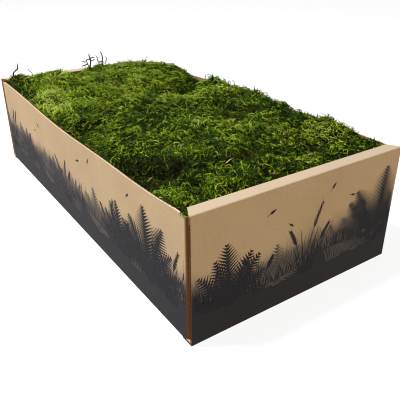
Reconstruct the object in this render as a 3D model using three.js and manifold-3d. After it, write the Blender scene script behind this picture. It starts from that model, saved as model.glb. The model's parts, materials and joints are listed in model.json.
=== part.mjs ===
// Sheets of feather moss packed in a folded tray of corrugated board.
//
// Millimetres, +Z up. The origin is the centre of the tray's underside and the tray's length runs
// along Y. The tray is one blank of board: its long walls are a single ply, and each end wall rolls
// over the corner flaps and locks into the floor. The tray is filled with layers of moss sheet, and
// the five sheets of the top layer meet along the dark creases that show between them. The moss
// presses on the long walls, so that they bow outwards along the top.

import * as THREE from 'three';
import Module from 'manifold-3d';
import { mergeVertices } from 'three/addons/utils/BufferGeometryUtils.js';

const wasm = await Module();
wasm.setup();

// Tray, driving sizes
const LENGTH = 600;
const WIDTH = 286;
const END_HEIGHT = 144;
const SIDE_HEIGHT = 142;
const BOARD = 3;
const PLY_GAP = 3;
const CREASE_RADIUS = 2.6;
const FLAP_LENGTH = 118;
const FLAP_DROP = 1.4;
const SHOULDER_RUN = 18;
const SHOULDER_DROP = 3.8;
const LAND_INSET = 7.3;
const FOOT_GAP = 0.4;
const TAB_WIDTH = 44;
const TAB_OFFSET = 78;
const TAB_RECESS = 0.6;
const TAB_PLAY = 0.6;
const BOW = 10.6;
const BOW_PEAK = -45;
const BOW_REACH = 282;
const BOW_FULLNESS = 1.25;
const BOW_RISE = 1.3;
const BOW_STEPS = 14;
const BOW_LEVELS = 3;
const ARC_STEPS = 4;

// Tray, worked out
const HALF_WIDTH = WIDTH / 2;
const HALF_LENGTH = LENGTH / 2;
const END_DEPTH = 3 * BOARD + 2 * PLY_GAP;
const FLAP_FACE = HALF_LENGTH - BOARD - PLY_GAP;
const FLAP_TOP = END_HEIGHT - BOARD - FLAP_DROP;
const PAST = 2;

// Moss, driving sizes
const WALL_PLAY = 0.6;
const SEAM_PLAY = 0.4;
const LAYER_PLAY = 0.3;
const LAYER_TOPS = [39, 73, 106];
const LAYER_SWELL = 3.2;
const LAYER_PITCH = 60;
const CROWN_LEVEL = 146;
const TUFT_PITCH = 15.2;
const TUFT_RISE = 5.5;
const TUFT_SINK = 4.5;
const TUFT_LEAN = 0.58;
const TUFT_STRAY = 0.17;
const SPRAY_PITCH = 51;
const SPRAY_ROOT = 9;
const SPRAY_CLEAR = 6.5;
const SPRAY_PAIRS = 3;
const SPRAY_BEND = 34;
const STEM_RADIUS = 1.5;
const SPRAY_MARGIN = 3;

// Moss, worked out
const INNER_X = HALF_WIDTH - BOARD - WALL_PLAY;
const INNER_Y = HALF_LENGTH - END_DEPTH - WALL_PLAY;
const CUT_BELOW = -20;
const CUT_ABOVE = 260;

// The swells of the top layer: centre, spread and rise
const SWELLS = [
  { x: 80, y: 196, wide: 54, long: 62, rise: 10 },
  { x: 123, y: -24, wide: 16, long: 74, rise: 14.5 },
  { x: 114, y: -212, wide: 18, long: 17, rise: 8 },
  { x: -72, y: 150, wide: 70, long: 90, rise: 3.5 },
  { x: -10, y: -60, wide: 70, long: 70, rise: 5 },
  { x: -60, y: -252, wide: 60, long: 24, rise: 4 },
  { x: -120, y: -205, wide: 22, long: 26, rise: -17 },
  { x: -134, y: 166, wide: 12, long: 26, rise: -10 },
];

// How far the top layer falls away beside each wall
const FALLS = [
  { side: 'left', drop: 10, reach: 15 },
  { side: 'front', drop: 13, reach: 17 },
  { side: 'right', drop: 4, reach: 7 },
  { side: 'back', drop: 7, reach: 13 },
];

// Corner points where three sheets meet
const MEET_MIDDLE = [39, 64];
const MEET_RIDGE = [62, 40];
const MEET_FRONT = [112, -130];
const LEFT_HIGH = [-INNER_X, -22];
const LEFT_LOW = [-INNER_X, -140];
const BACK = [20, INNER_Y];
const RIGHT_HIGH = [INNER_X, 99];
const RIGHT_LOW = [INNER_X, -141];

// The creases between the sheets, each a line in plan with the depth and width of its groove
const CREASES = {
  leftToMiddle: {
    line: [LEFT_HIGH, [-112, -12], [-80, -38], [-36, -20], [6, 26], MEET_MIDDLE],
    depth: 9,
    width: 9,
  },
  backToMiddle: { line: [BACK, [4, 215], [15, 142], [25, 96], MEET_MIDDLE], depth: 6, width: 9 },
  middleStep: { line: [MEET_MIDDLE, MEET_RIDGE], depth: 7, width: 9 },
  domeToRidge: { line: [MEET_RIDGE, [98, 74], RIGHT_HIGH], depth: 10, width: 15 },
  ridgeFoot: { line: [MEET_RIDGE, [82, -4], [99, -38], [111, -66], [115, -98], MEET_FRONT], depth: 8, width: 9 },
  frontHollow: {
    line: [LEFT_LOW, [-118, -174], [-80, -202], [-30, -212], [10, -208], [50, -174], [82, -144], MEET_FRONT],
    depth: 15,
    width: 12,
  },
  ridgeEnd: { line: [MEET_FRONT, RIGHT_LOW], depth: 6, width: 10 },
};

// The tall sprigs that stand clear of the rest: place, heading in degrees, lift and length
const SPRIGS = [
  { x: 18, y: 268, heading: 110, lift: 62, length: 29 },
  { x: 46, y: 270, heading: 55, lift: 66, length: 25 },
  { x: -98, y: 266, heading: 125, lift: 52, length: 23 },
  { x: -70, y: 260, heading: 60, lift: 46, length: 22 },
  { x: 112, y: 250, heading: 40, lift: 50, length: 24 },
  { x: 116, y: 36, heading: 65, lift: 48, length: 19 },
  { x: 118, y: -52, heading: 25, lift: 44, length: 18 },
  { x: 114, y: -206, heading: 80, lift: 46, length: 22 },
];

// Colours
const KRAFT = { color: 0xb9926a, roughness: 0.85, metalness: 0 };
const GREENS = {
  back_left_moss_sheet: { color: 0x7d9a22, roughness: 0.9, metalness: 0 },
  back_right_moss_sheet: { color: 0x6f8d20, roughness: 0.9, metalness: 0 },
  right_ridge_moss_sheet: { color: 0x4f7420, roughness: 0.9, metalness: 0 },
  middle_moss_sheet: { color: 0x5d7d1e, roughness: 0.9, metalness: 0 },
  front_moss_sheet: { color: 0x4c6e1e, roughness: 0.9, metalness: 0 },
};
const BURIED_GREEN = { color: 0x5b5a26, roughness: 0.95, metalness: 0 };

// A seeded random draw, so that every build is the same
function seeded(seed) {
  let state = seed >>> 0;
  return () => {
    state = (state + 0x6d2b79f5) >>> 0;
    let t = state;
    t = Math.imul(t ^ (t >>> 15), t | 1);
    t ^= t + Math.imul(t ^ (t >>> 7), t | 61);
    return ((t ^ (t >>> 14)) >>> 0) / 4294967296;
  };
}

// Solids

function solidFromArrays(positions, triangles) {
  const mesh = new wasm.Mesh({
    numProp: 3,
    vertProperties: new Float32Array(positions),
    triVerts: new Uint32Array(triangles),
  });
  return new wasm.Manifold(mesh);
}

function solidFromGeometry(geometry) {
  geometry.deleteAttribute('normal');
  geometry.deleteAttribute('uv');
  const merged = mergeVertices(geometry);
  return solidFromArrays(merged.getAttribute('position').array, merged.index.array);
}

function geometryFromSolid(solid) {
  const mesh = solid.getMesh();
  const geometry = new THREE.BufferGeometry();
  geometry.setAttribute('position', new THREE.BufferAttribute(new Float32Array(mesh.vertProperties), 3));
  geometry.setIndex(new THREE.BufferAttribute(new Uint32Array(mesh.triVerts), 1));
  geometry.computeVertexNormals();
  return geometry;
}

function joined(solids) {
  return solids.reduce((whole, next) => whole.add(next));
}

function reversed(list) {
  return [...list].reverse();
}

function outline(points) {
  return new THREE.Shape(points.map(([x, y]) => new THREE.Vector2(x, y)));
}

// A plan outline, raised from one level to another
function prism(shape, low, high) {
  const geometry = new THREE.ExtrudeGeometry(shape, {
    depth: high - low,
    bevelEnabled: false,
    curveSegments: ARC_STEPS,
  });
  geometry.translate(0, 0, low);
  return solidFromGeometry(geometry);
}

function block(x0, x1, y0, y1, z0, z1) {
  return prism(outline([[x0, y0], [x1, y0], [x1, y1], [x0, y1]]), z0, z1);
}

// How far a long wall stands out at a point. It is straight at its foot and past the corner flaps
function bow(y, z) {
  const reach = y > BOW_PEAK ? BOW_REACH - BOW_PEAK : BOW_REACH + BOW_PEAK;
  const along = Math.min(1, Math.abs(y - BOW_PEAK) / reach);
  const height = Math.min(1, Math.max(0, z / SIDE_HEIGHT));
  return BOW * (1 - along * along) ** BOW_FULLNESS * height ** BOW_RISE;
}

// Spreads a solid sideways with the walls: all of it at a wall, and less towards the middle
function spread(solid) {
  return solid.warp((point) => {
    const share = Math.max(-1, Math.min(1, point[0] / INNER_X));
    point[0] += share * bow(point[1], point[2]);
  });
}

// Tray

// The floor and both long walls: a section across the tray, drawn out along Y
function floorAndLongWalls() {
  const reach = FLAP_FACE - BOARD;
  const levels = [...Array(BOW_LEVELS).keys()].map((i) => (SIDE_HEIGHT * (i + 1)) / BOW_LEVELS);
  const section = new THREE.Shape();
  section.moveTo(-HALF_WIDTH, CREASE_RADIUS);
  section.absarc(-HALF_WIDTH + CREASE_RADIUS, CREASE_RADIUS, CREASE_RADIUS, Math.PI, Math.PI * 1.5, false);
  section.lineTo(HALF_WIDTH - CREASE_RADIUS, 0);
  section.absarc(HALF_WIDTH - CREASE_RADIUS, CREASE_RADIUS, CREASE_RADIUS, Math.PI * 1.5, Math.PI * 2, false);
  levels.forEach((level) => section.lineTo(HALF_WIDTH, level));
  reversed(levels).forEach((level) => section.lineTo(HALF_WIDTH - BOARD, level));
  section.lineTo(HALF_WIDTH - BOARD, BOARD);
  section.lineTo(-HALF_WIDTH + BOARD, BOARD);
  levels.forEach((level) => section.lineTo(-HALF_WIDTH + BOARD, level));
  reversed(levels).forEach((level) => section.lineTo(-HALF_WIDTH, level));
  const geometry = new THREE.ExtrudeGeometry(section, {
    depth: 2 * reach,
    steps: BOW_STEPS,
    bevelEnabled: false,
    curveSegments: ARC_STEPS,
  });
  geometry.rotateX(Math.PI / 2);
  geometry.translate(0, reach, 0);
  return spread(solidFromGeometry(geometry));
}

// A corner flap: it carries on from the long wall, turns the corner and runs inside the end wall
function cornerFlap() {
  const inside = -HALF_WIDTH + BOARD;
  const start = -FLAP_FACE + 3 * BOARD;
  const plan = new THREE.Shape();
  plan.moveTo(-HALF_WIDTH, start);
  plan.lineTo(-HALF_WIDTH, -FLAP_FACE + BOARD);
  plan.absarc(inside, -FLAP_FACE + BOARD, BOARD, Math.PI, Math.PI * 1.5, false);
  plan.lineTo(inside + FLAP_LENGTH, -FLAP_FACE);
  plan.lineTo(inside + FLAP_LENGTH, -FLAP_FACE + BOARD);
  plan.lineTo(inside, -FLAP_FACE + BOARD);
  plan.lineTo(inside, start);
  return prism(plan, BOARD + FOOT_GAP, FLAP_TOP);
}

// The rolled end wall at the front: outer ply up, over the land on top, and the inner ply down
function endWall() {
  const r = CREASE_RADIUS;
  const section = new THREE.Shape();
  section.moveTo(END_DEPTH, 0);
  section.lineTo(r, 0);
  section.absarc(r, r, r, Math.PI * 1.5, Math.PI, true);
  section.lineTo(0, END_HEIGHT - r);
  section.absarc(r, END_HEIGHT - r, r, Math.PI, Math.PI / 2, true);
  section.lineTo(END_DEPTH - r, END_HEIGHT);
  section.absarc(END_DEPTH - r, END_HEIGHT - r, r, Math.PI / 2, 0, true);
  section.lineTo(END_DEPTH, BOARD + FOOT_GAP);
  section.lineTo(END_DEPTH - BOARD, BOARD + FOOT_GAP);
  section.lineTo(END_DEPTH - BOARD, END_HEIGHT - BOARD);
  section.lineTo(BOARD, END_HEIGHT - BOARD);
  section.lineTo(BOARD, BOARD);
  section.lineTo(END_DEPTH, BOARD);
  const geometry = new THREE.ExtrudeGeometry(section, {
    depth: WIDTH,
    bevelEnabled: false,
    curveSegments: ARC_STEPS,
  });
  geometry.rotateX(Math.PI / 2);
  geometry.rotateZ(Math.PI / 2);
  geometry.translate(-HALF_WIDTH, -HALF_LENGTH, 0);
  return solidFromGeometry(geometry);
}

// What the slanted ends of the land and the narrower inner ply leave out, at one side
function landTrim() {
  const inset = HALF_WIDTH - LAND_INSET;
  const front = -HALF_LENGTH + BOARD;
  const back = -HALF_LENGTH + END_DEPTH;
  const plan = outline([
    [HALF_WIDTH + PAST, front],
    [HALF_WIDTH + PAST, back + PAST],
    [inset, back + PAST],
    [inset, back - CREASE_RADIUS],
    [HALF_WIDTH, front],
  ]);
  return prism(plan, BOARD + FOOT_GAP / 2, END_HEIGHT + PAST);
}

// The long wall's top edge falls away at the corner so that the flap passes under the land
function shoulderTrim() {
  const flat = FLAP_FACE - SHOULDER_RUN;
  const side = outline([
    [flat, SIDE_HEIGHT],
    [FLAP_FACE + PAST, SIDE_HEIGHT - SHOULDER_DROP * (1 + PAST / SHOULDER_RUN)],
    [FLAP_FACE + PAST, SIDE_HEIGHT + PAST],
    [flat, SIDE_HEIGHT + PAST],
  ]);
  const geometry = new THREE.ExtrudeGeometry(side, { depth: WIDTH + 2 * PAST, bevelEnabled: false });
  geometry.rotateX(Math.PI / 2);
  geometry.rotateZ(-Math.PI / 2);
  geometry.translate(HALF_WIDTH + PAST, 0, 0);
  return solidFromGeometry(geometry);
}

// The two tabs under one inner ply, and the slots in the floor that hold them
function lockTab(centre, play) {
  const outer = -HALF_LENGTH + END_DEPTH - BOARD;
  const half = TAB_WIDTH / 2 + play;
  const low = play > 0 ? -PAST : TAB_RECESS;
  const high = play > 0 ? BOARD + FOOT_GAP / 2 : BOARD + 3 * FOOT_GAP;
  return block(centre - half, centre + half, outer - play, outer + BOARD + play, low, high);
}

function turned(solid) {
  return solid.rotate([0, 0, 180]);
}

function mirrored(solid) {
  return solid.mirror([1, 0, 0]);
}

function tray() {
  const flap = cornerFlap();
  const flaps = joined([flap, mirrored(flap)]);
  const trim = joined([landTrim(), mirrored(landTrim())]);
  const end = endWall().subtract(trim);
  const slots = joined([-TAB_OFFSET, TAB_OFFSET].map((x) => lockTab(x, TAB_PLAY)));
  const tabs = joined([-TAB_OFFSET, TAB_OFFSET].map((x) => lockTab(x, 0)));
  const shoulder = shoulderTrim();
  const walls = joined([floorAndLongWalls(), flaps, turned(flaps)]).subtract(joined([shoulder, turned(shoulder)]));
  const folded = joined([walls, end, turned(end)]);
  return folded.subtract(joined([slots, turned(slots)])).add(joined([tabs, turned(tabs)]));
}

// Moss surface

function distanceToLine(x, y, line) {
  let least = Infinity;
  for (let i = 0; i + 1 < line.length; i += 1) {
    const [ax, ay] = line[i];
    const [bx, by] = line[i + 1];
    const dx = bx - ax;
    const dy = by - ay;
    const along = ((x - ax) * dx + (y - ay) * dy) / (dx * dx + dy * dy);
    const t = Math.min(1, Math.max(0, along));
    least = Math.min(least, Math.hypot(x - ax - t * dx, y - ay - t * dy));
  }
  return least;
}

function fallBeside(side, x, y) {
  const distance = {
    left: x + INNER_X,
    right: INNER_X - x,
    front: y + INNER_Y,
    back: INNER_Y - y,
  };
  return Math.max(0, distance[side]);
}

// The level of the moss at a point in plan, midway between its tufts and the gaps among them
function crown(x, y) {
  let level = CROWN_LEVEL;
  for (const swell of SWELLS) {
    const u = (x - swell.x) / swell.wide;
    const v = (y - swell.y) / swell.long;
    level += swell.rise * Math.exp(-0.5 * (u * u + v * v));
  }
  for (const fall of FALLS) {
    level -= fall.drop * Math.exp(-fallBeside(fall.side, x, y) / fall.reach);
  }
  let groove = 0;
  for (const crease of Object.values(CREASES)) {
    const gap = distanceToLine(x, y, crease.line) / crease.width;
    groove = Math.max(groove, crease.depth * Math.exp(-gap * gap));
  }
  return level - groove + 1.6 * Math.sin(x / 19 + 1.3) * Math.sin(y / 23) + 1.1 * Math.sin((x + y) / 11);
}

// The way the shoots are combed, as an angle that drifts over the sheet
function combing(x, y) {
  return 1.2 + 1.5 * Math.sin(x / 58 + 0.7) + 1.3 * Math.sin(y / 74 - 0.4) + 0.7 * Math.sin((x - y) / 41);
}

// A block whose top is a triangular grid of points; place(x, y, kind, draw) gives each point, and
// kind is 0 for one point in three, so that every tuft has a ring of six lower points round it
function gridBlock(pitch, place, floor, seed) {
  const draw = seeded(seed);
  const rowStep = pitch * Math.sqrt(0.75);
  const columns = Math.ceil((2 * (INNER_X + PAST)) / pitch) + 2;
  const rows = Math.ceil((2 * (INNER_Y + PAST)) / rowStep) + 2;
  const positions = [];
  for (let row = 0; row < rows; row += 1) {
    for (let column = 0; column < columns; column += 1) {
      const x = (column - (columns - 1) / 2 + (row % 2 ? 0.25 : -0.25)) * pitch;
      const y = (row - (rows - 1) / 2) * rowStep;
      const kind = (((column - ((row - (row % 2)) / 2) - row) % 3) + 3) % 3;
      positions.push(...place(x, y, kind, draw));
    }
  }
  const count = rows * columns;
  for (let i = 0; i < count; i += 1) {
    positions.push(positions[3 * i], positions[3 * i + 1], floor);
  }
  const triangles = [];
  const face = (a, b, c) => triangles.push(a, b, c, count + a, count + c, count + b);
  for (let row = 0; row + 1 < rows; row += 1) {
    for (let column = 0; column + 1 < columns; column += 1) {
      const a = row * columns + column;
      const b = a + 1;
      const c = a + columns;
      const d = c + 1;
      if (row % 2) {
        face(a, b, d);
        face(a, d, c);
      } else {
        face(a, b, c);
        face(b, d, c);
      }
    }
  }
  const rim = [];
  for (let column = 0; column < columns; column += 1) rim.push(column);
  for (let row = 1; row < rows; row += 1) rim.push(row * columns + columns - 1);
  for (let column = columns - 2; column >= 0; column -= 1) rim.push((rows - 1) * columns + column);
  for (let row = rows - 2; row > 0; row -= 1) rim.push(row * columns);
  rim.forEach((a, i) => {
    const b = rim[(i + 1) % rim.length];
    triangles.push(a, count + a, count + b, a, count + b, b);
  });
  return solidFromArrays(positions, triangles);
}

// The tufted top layer, before it is parted into sheets
function tuftedBlock() {
  const pitch = TUFT_PITCH / Math.sqrt(3);
  const place = (x, y, kind, draw) => {
    const level = crown(x, y);
    const stray = pitch * TUFT_STRAY * draw();
    const veer = 2 * Math.PI * draw();
    if (kind) {
      const sink = TUFT_SINK * (0.7 + 0.6 * draw());
      return [x + stray * Math.cos(veer), y + stray * Math.sin(veer), level - sink];
    }
    const turn = combing(x, y) + (draw() - 0.5) * 1.6;
    const lean = pitch * TUFT_LEAN * (0.5 + 0.5 * draw());
    const rise = TUFT_RISE * (0.45 + 0.95 * draw());
    return [x + lean * Math.cos(turn), y + lean * Math.sin(turn), level + rise];
  };
  return gridBlock(pitch, place, LAYER_TOPS[0], 11);
}

// Everything up to the top of a buried layer, raised by play
function buriedBlock(layer, play) {
  const place = (x, y) => {
    const swell = Math.sin(x / 37 + layer) * Math.cos(y / 49 + 2 * layer);
    return [x, y, LAYER_TOPS[layer] + LAYER_SWELL * swell + play];
  };
  return gridBlock(LAYER_PITCH, place, CUT_BELOW, 1);
}

// Sheet outlines in plan

function chain(...lines) {
  const points = [];
  for (const line of lines) {
    for (const point of line) {
      const last = points[points.length - 1];
      if (!last || Math.hypot(point[0] - last[0], point[1] - last[1]) > 0.01) points.push(point);
    }
  }
  const [first, last] = [points[0], points[points.length - 1]];
  if (Math.hypot(first[0] - last[0], first[1] - last[1]) < 0.01) points.pop();
  return points;
}

const SHEETS = {
  back_left_moss_sheet: chain(
    CREASES.leftToMiddle.line,
    reversed(CREASES.backToMiddle.line),
    [[-INNER_X, INNER_Y]],
  ),
  back_right_moss_sheet: chain(
    CREASES.backToMiddle.line,
    CREASES.middleStep.line,
    CREASES.domeToRidge.line,
    [[INNER_X, INNER_Y]],
  ),
  right_ridge_moss_sheet: chain(
    CREASES.ridgeFoot.line,
    CREASES.ridgeEnd.line,
    reversed(CREASES.domeToRidge.line),
  ),
  middle_moss_sheet: chain(
    CREASES.frontHollow.line,
    reversed(CREASES.ridgeFoot.line),
    reversed(CREASES.middleStep.line),
    reversed(CREASES.leftToMiddle.line),
  ),
  front_moss_sheet: chain(
    [[-INNER_X, -INNER_Y], [INNER_X, -INNER_Y]],
    reversed(CREASES.ridgeEnd.line),
    reversed(CREASES.frontHollow.line),
  ),
};

// An anticlockwise outline, drawn in by the same distance all round
function drawnIn(points, distance) {
  const clockwise = THREE.ShapeUtils.isClockWise(points.map(([x, y]) => new THREE.Vector2(x, y)));
  const ring = clockwise ? reversed(points) : points;
  return ring.map((point, i) => {
    const before = ring[(i + ring.length - 1) % ring.length];
    const after = ring[(i + 1) % ring.length];
    const [ax, ay] = unitNormal(before, point);
    const [bx, by] = unitNormal(point, after);
    const scale = distance / (1 + ax * bx + ay * by);
    return [point[0] + (ax + bx) * scale, point[1] + (ay + by) * scale];
  });
}

// The normal that points into an anticlockwise outline
function unitNormal([ax, ay], [bx, by]) {
  const length = Math.hypot(bx - ax, by - ay);
  return [-(by - ay) / length, (bx - ax) / length];
}

function isInside([x, y], ring) {
  let inside = false;
  for (let i = 0, j = ring.length - 1; i < ring.length; j = i, i += 1) {
    const [ax, ay] = ring[i];
    const [bx, by] = ring[j];
    if (ay > y !== by > y && x < ((bx - ax) * (y - ay)) / (by - ay) + ax) inside = !inside;
  }
  return inside;
}

// Sprays

// A leafy spray in one closed skin: a three-sided stem whose root goes down into the sheet, and
// which bends over to lie along the surface, with pairs of pointed side shoots drawn out of it
function spray({ x, y, heading, lift, length }) {
  const turn = THREE.MathUtils.degToRad(heading);
  const along = new THREE.Vector3(Math.cos(turn), Math.sin(turn), 0);
  const across = new THREE.Vector3(-Math.sin(turn), Math.cos(turn), 0);
  const up = new THREE.Vector3(0, 0, 1);
  const rise = THREE.MathUtils.degToRad(lift);
  const bend = THREE.MathUtils.degToRad(SPRAY_BEND);
  const direction = (angle) => along.clone().multiplyScalar(Math.cos(angle)).addScaledVector(up, Math.sin(angle));
  const root = new THREE.Vector3(x, y, crown(x, y) - TUFT_SINK - SPRAY_ROOT);
  const elbow = root.clone().addScaledVector(up, SPRAY_ROOT + TUFT_SINK + SPRAY_CLEAR);
  elbow.addScaledVector(along, SPRAY_CLEAR);
  const spine = (t) => elbow.clone().addScaledVector(direction(rise - (bend * t) / 2), length * t);

  const positions = [];
  const triangles = [];
  const put = (point) => positions.push(point.x, point.y, point.z) / 3 - 1;
  const ring = (centre, angle, size) => {
    const over = new THREE.Vector3().crossVectors(direction(angle), across);
    return [[1, -1], [0, 1], [-1, -1]].map(([side, height]) => {
      const corner = centre.clone().addScaledVector(across, side * size * STEM_RADIUS);
      return put(corner.addScaledVector(over, height * size * STEM_RADIUS * 0.8));
    });
  };
  const close = (behind, ahead, k) => {
    const n = (k + 1) % 3;
    triangles.push(behind[k], behind[n], ahead[n], behind[k], ahead[n], ahead[k]);
  };
  const drawOut = (behind, ahead, k, tip) => {
    const n = (k + 1) % 3;
    triangles.push(behind[k], behind[n], tip, behind[n], ahead[n], tip);
    triangles.push(ahead[n], ahead[k], tip, ahead[k], behind[k], tip);
  };

  let last = ring(root, Math.PI / 2, 1.4);
  triangles.push(last[0], last[2], last[1]);
  const tips = [];
  for (let pair = 0; pair < SPRAY_PAIRS; pair += 1) {
    const start = pair / (SPRAY_PAIRS + 0.4);
    const end = start + 0.16;
    const angle = rise - bend * start;
    const first = ring(spine(start), pair ? angle : (angle + Math.PI / 2) / 2, 1 - 0.55 * start);
    for (let k = 0; k < 3; k += 1) close(last, first, k);
    const next = ring(spine(end), angle, 1 - 0.55 * end);
    close(first, next, 2);
    const reach = length * (0.44 - 0.26 * start);
    [1, -1].forEach((side, k) => {
      const tip = spine(end).addScaledVector(across, side * reach * 0.75);
      tip.addScaledVector(direction(angle - 0.3), reach * 0.6);
      tips.push(tip);
      drawOut(first, next, k, put(tip));
    });
    last = next;
  }
  const tip = spine(1);
  const point = put(tip);
  for (let k = 0; k < 3; k += 1) triangles.push(last[k], last[(k + 1) % 3], point);
  return { solid: solidFromArrays(positions, triangles), tips: [tip, ...tips] };
}

// Sprays over one sheet: the tall sprigs that stand in it, then one for each cell of a loose grid
function spraysOn(ring, pitch, seed) {
  const draw = seeded(seed);
  const keep = drawnIn(ring, SPRAY_MARGIN);
  const fits = (made) => made.tips.every((tip) => isInside([tip.x, tip.y], keep));
  const pieces = [];
  const tryAt = (settings) => {
    for (let turn = 0; turn < 360; turn += 45) {
      const made = spray({ ...settings, heading: settings.heading + turn });
      if (fits(made)) {
        pieces.push(made.solid);
        return;
      }
    }
  };
  SPRIGS.filter(({ x, y }) => isInside([x, y], keep)).forEach(tryAt);
  for (let x = -INNER_X + pitch / 2; x < INNER_X; x += pitch) {
    for (let y = -INNER_Y + pitch / 2; y < INNER_Y; y += pitch) {
      const place = {
        x: x + (draw() - 0.5) * pitch * 0.7,
        y: y + (draw() - 0.5) * pitch * 0.7,
        heading: THREE.MathUtils.radToDeg(combing(x, y)) + (draw() - 0.5) * 90,
        lift: 6 + 22 * draw(),
        length: 25 + 10 * draw(),
      };
      if (isInside([place.x, place.y], keep)) tryAt(place);
    }
  }
  return pieces;
}

// Assembly

const object = new THREE.Group();

function addPiece(name, solid, look) {
  const mesh = new THREE.Mesh(geometryFromSolid(solid), new THREE.MeshStandardMaterial(look));
  mesh.name = name;
  object.add(mesh);
}

addPiece('tray', tray(), KRAFT);

const topLayer = tuftedBlock().subtract(buriedBlock(LAYER_TOPS.length - 1, LAYER_PLAY));
Object.entries(SHEETS).forEach(([name, points], i) => {
  const ring = drawnIn(points, SEAM_PLAY);
  const core = topLayer.intersect(prism(outline(ring), CUT_BELOW, CUT_ABOVE));
  addPiece(name, spread(joined([core, ...spraysOn(ring, SPRAY_PITCH, 40 + i)])), GREENS[name]);
});

// Each buried layer is two sheets, laid end to end, with the joins staggered from layer to layer
const JOINS = [46, -64, 30];
LAYER_TOPS.forEach((top, layer) => {
  const filled = buriedBlock(layer, 0);
  const clear = layer
    ? filled.subtract(buriedBlock(layer - 1, LAYER_PLAY))
    : filled.subtract(block(-WIDTH, WIDTH, -LENGTH, LENGTH, 2 * CUT_BELOW, BOARD + LAYER_PLAY));
  const join = JOINS[layer];
  const ends = {
    front: block(-INNER_X, INNER_X, -INNER_Y, join - SEAM_PLAY, CUT_BELOW, CUT_ABOVE),
    back: block(-INNER_X, INNER_X, join + SEAM_PLAY, INNER_Y, CUT_BELOW, CUT_ABOVE),
  };
  for (const [end, half] of Object.entries(ends)) {
    addPiece(`buried_moss_sheet_${layer + 1}_${end}`, spread(clear.intersect(half)), BURIED_GREEN);
  }
});

export default object;
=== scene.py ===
# Sheets of feather moss packed in a folded tray of corrugated board, dressed for a photograph.
# Sizes in the code are millimetres, and MM turns them into Blender's metres.

import json
import math
import random

import bmesh
import bpy
import numpy
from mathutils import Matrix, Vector, noise
from mathutils.geometry import delaunay_2d_cdt

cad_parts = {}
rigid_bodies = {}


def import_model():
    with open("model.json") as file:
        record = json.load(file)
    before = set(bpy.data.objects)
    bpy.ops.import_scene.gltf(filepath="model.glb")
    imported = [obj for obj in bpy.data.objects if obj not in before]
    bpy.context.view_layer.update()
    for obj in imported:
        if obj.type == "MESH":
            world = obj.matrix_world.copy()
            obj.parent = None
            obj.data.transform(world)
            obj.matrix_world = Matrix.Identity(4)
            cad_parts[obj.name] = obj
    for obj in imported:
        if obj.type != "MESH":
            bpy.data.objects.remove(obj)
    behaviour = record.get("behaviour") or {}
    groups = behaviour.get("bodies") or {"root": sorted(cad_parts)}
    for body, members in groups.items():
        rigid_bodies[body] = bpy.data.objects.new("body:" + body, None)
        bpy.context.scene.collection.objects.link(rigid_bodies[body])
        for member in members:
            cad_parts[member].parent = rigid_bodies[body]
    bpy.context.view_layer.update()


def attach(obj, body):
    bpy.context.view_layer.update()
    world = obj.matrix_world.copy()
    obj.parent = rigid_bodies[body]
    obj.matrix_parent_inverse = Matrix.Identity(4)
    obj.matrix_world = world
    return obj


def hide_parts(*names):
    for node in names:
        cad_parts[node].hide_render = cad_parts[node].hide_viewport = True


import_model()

MM = 0.001
DEGREE = math.pi / 180

# Tray sizes
LENGTH = 600
WIDTH = 286
END_HEIGHT = 144.5
SIDE_HEIGHT = 142
BOARD = 3
PLY_GAP = 3.8
CREASE_RADIUS = 1.8
FOLD_RADIUS = 4
FLAP_LENGTH = 118
FLAP_DROP = 1.4
RIM_FLAT = 1.3
RIM_CRUSH = 0.8
SHOULDER_RUN = 18
SHOULDER_DROP = 2.4
LAND_INSET = 7
FOOT_GAP = 0.4
TAB_WIDTH = 44
TAB_OFFSET = 78
TAB_RECESS = 0.6
TAB_PLAY = 0.6
HALF_WIDTH = WIDTH / 2
HALF_LENGTH = LENGTH / 2
END_DEPTH = 3 * BOARD + 2 * PLY_GAP
FLAP_FACE = HALF_LENGTH - BOARD - PLY_GAP
FLAP_TOP = END_HEIGHT - BOARD - FLAP_DROP

# How far tools reach past what they cut, and the slack where the place of a face is compared
PAST = 2
FLUTE_PAST = 6
SLACK = 0.1

# How far the top edge of each long wall stands out at places along it
LEFT_BOW = [
    (-294, 0), (-282, 1.0), (-265, 3.0), (-245, 4.6), (-222, 5.6), (-200, 6.2), (-160, 6.2), (-125, 6.6),
    (-90, 7.6), (-45, 8.6), (0, 8.7), (50, 7.6), (100, 5.6), (150, 3.5), (200, 1.6), (250, 0.5), (294, 0),
]
RIGHT_BOW = [
    (-294, 0), (-250, 2.0), (-219, 3.6), (-160, 6.5), (-100, 8.5), (-45, 9.8), (0, 10.4), (60, 10.8),
    (105, 10.4), (153, 6.8), (200, 3.8), (250, 1.2), (294, 0),
]
BOW_RISE = 1.3
WALL_STATIONS = 30
WALL_LEVELS = 12

# Board make-up
FLUTE_PITCH = 6.4
LINER = 0.4
MEDIUM = 0.3
TOP_FLUTE_REACH = 1.6
SIDE_FLUTE_REACH = 7
TOP_CLEAR = 4
SIDE_CLEAR = 6
RIM_SQUASH = 0.7

# Moss sizes
MOSS_PLAY = 0.6
INNER_X = HALF_WIDTH - BOARD - MOSS_PLAY
INNER_Y = HALF_LENGTH - END_DEPTH - MOSS_PLAY
CROWN_LEVEL = 146
LAYER_TOPS = [39, 73, 106]
LAYER_SWELL = 3.2
SEAM_PLAY = 0.4
JOIN_PLAY = 0.4
SHOOT_PLAY = 0.2
LAP_START = 0.8
LAP_SLOPE = 1.5
SIDE_LAP = 2.4
FRONT_LAP = 3
BACK_LAP = 9
BITS_RISE = 1.5
ROOT_DEPTH = 3

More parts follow.
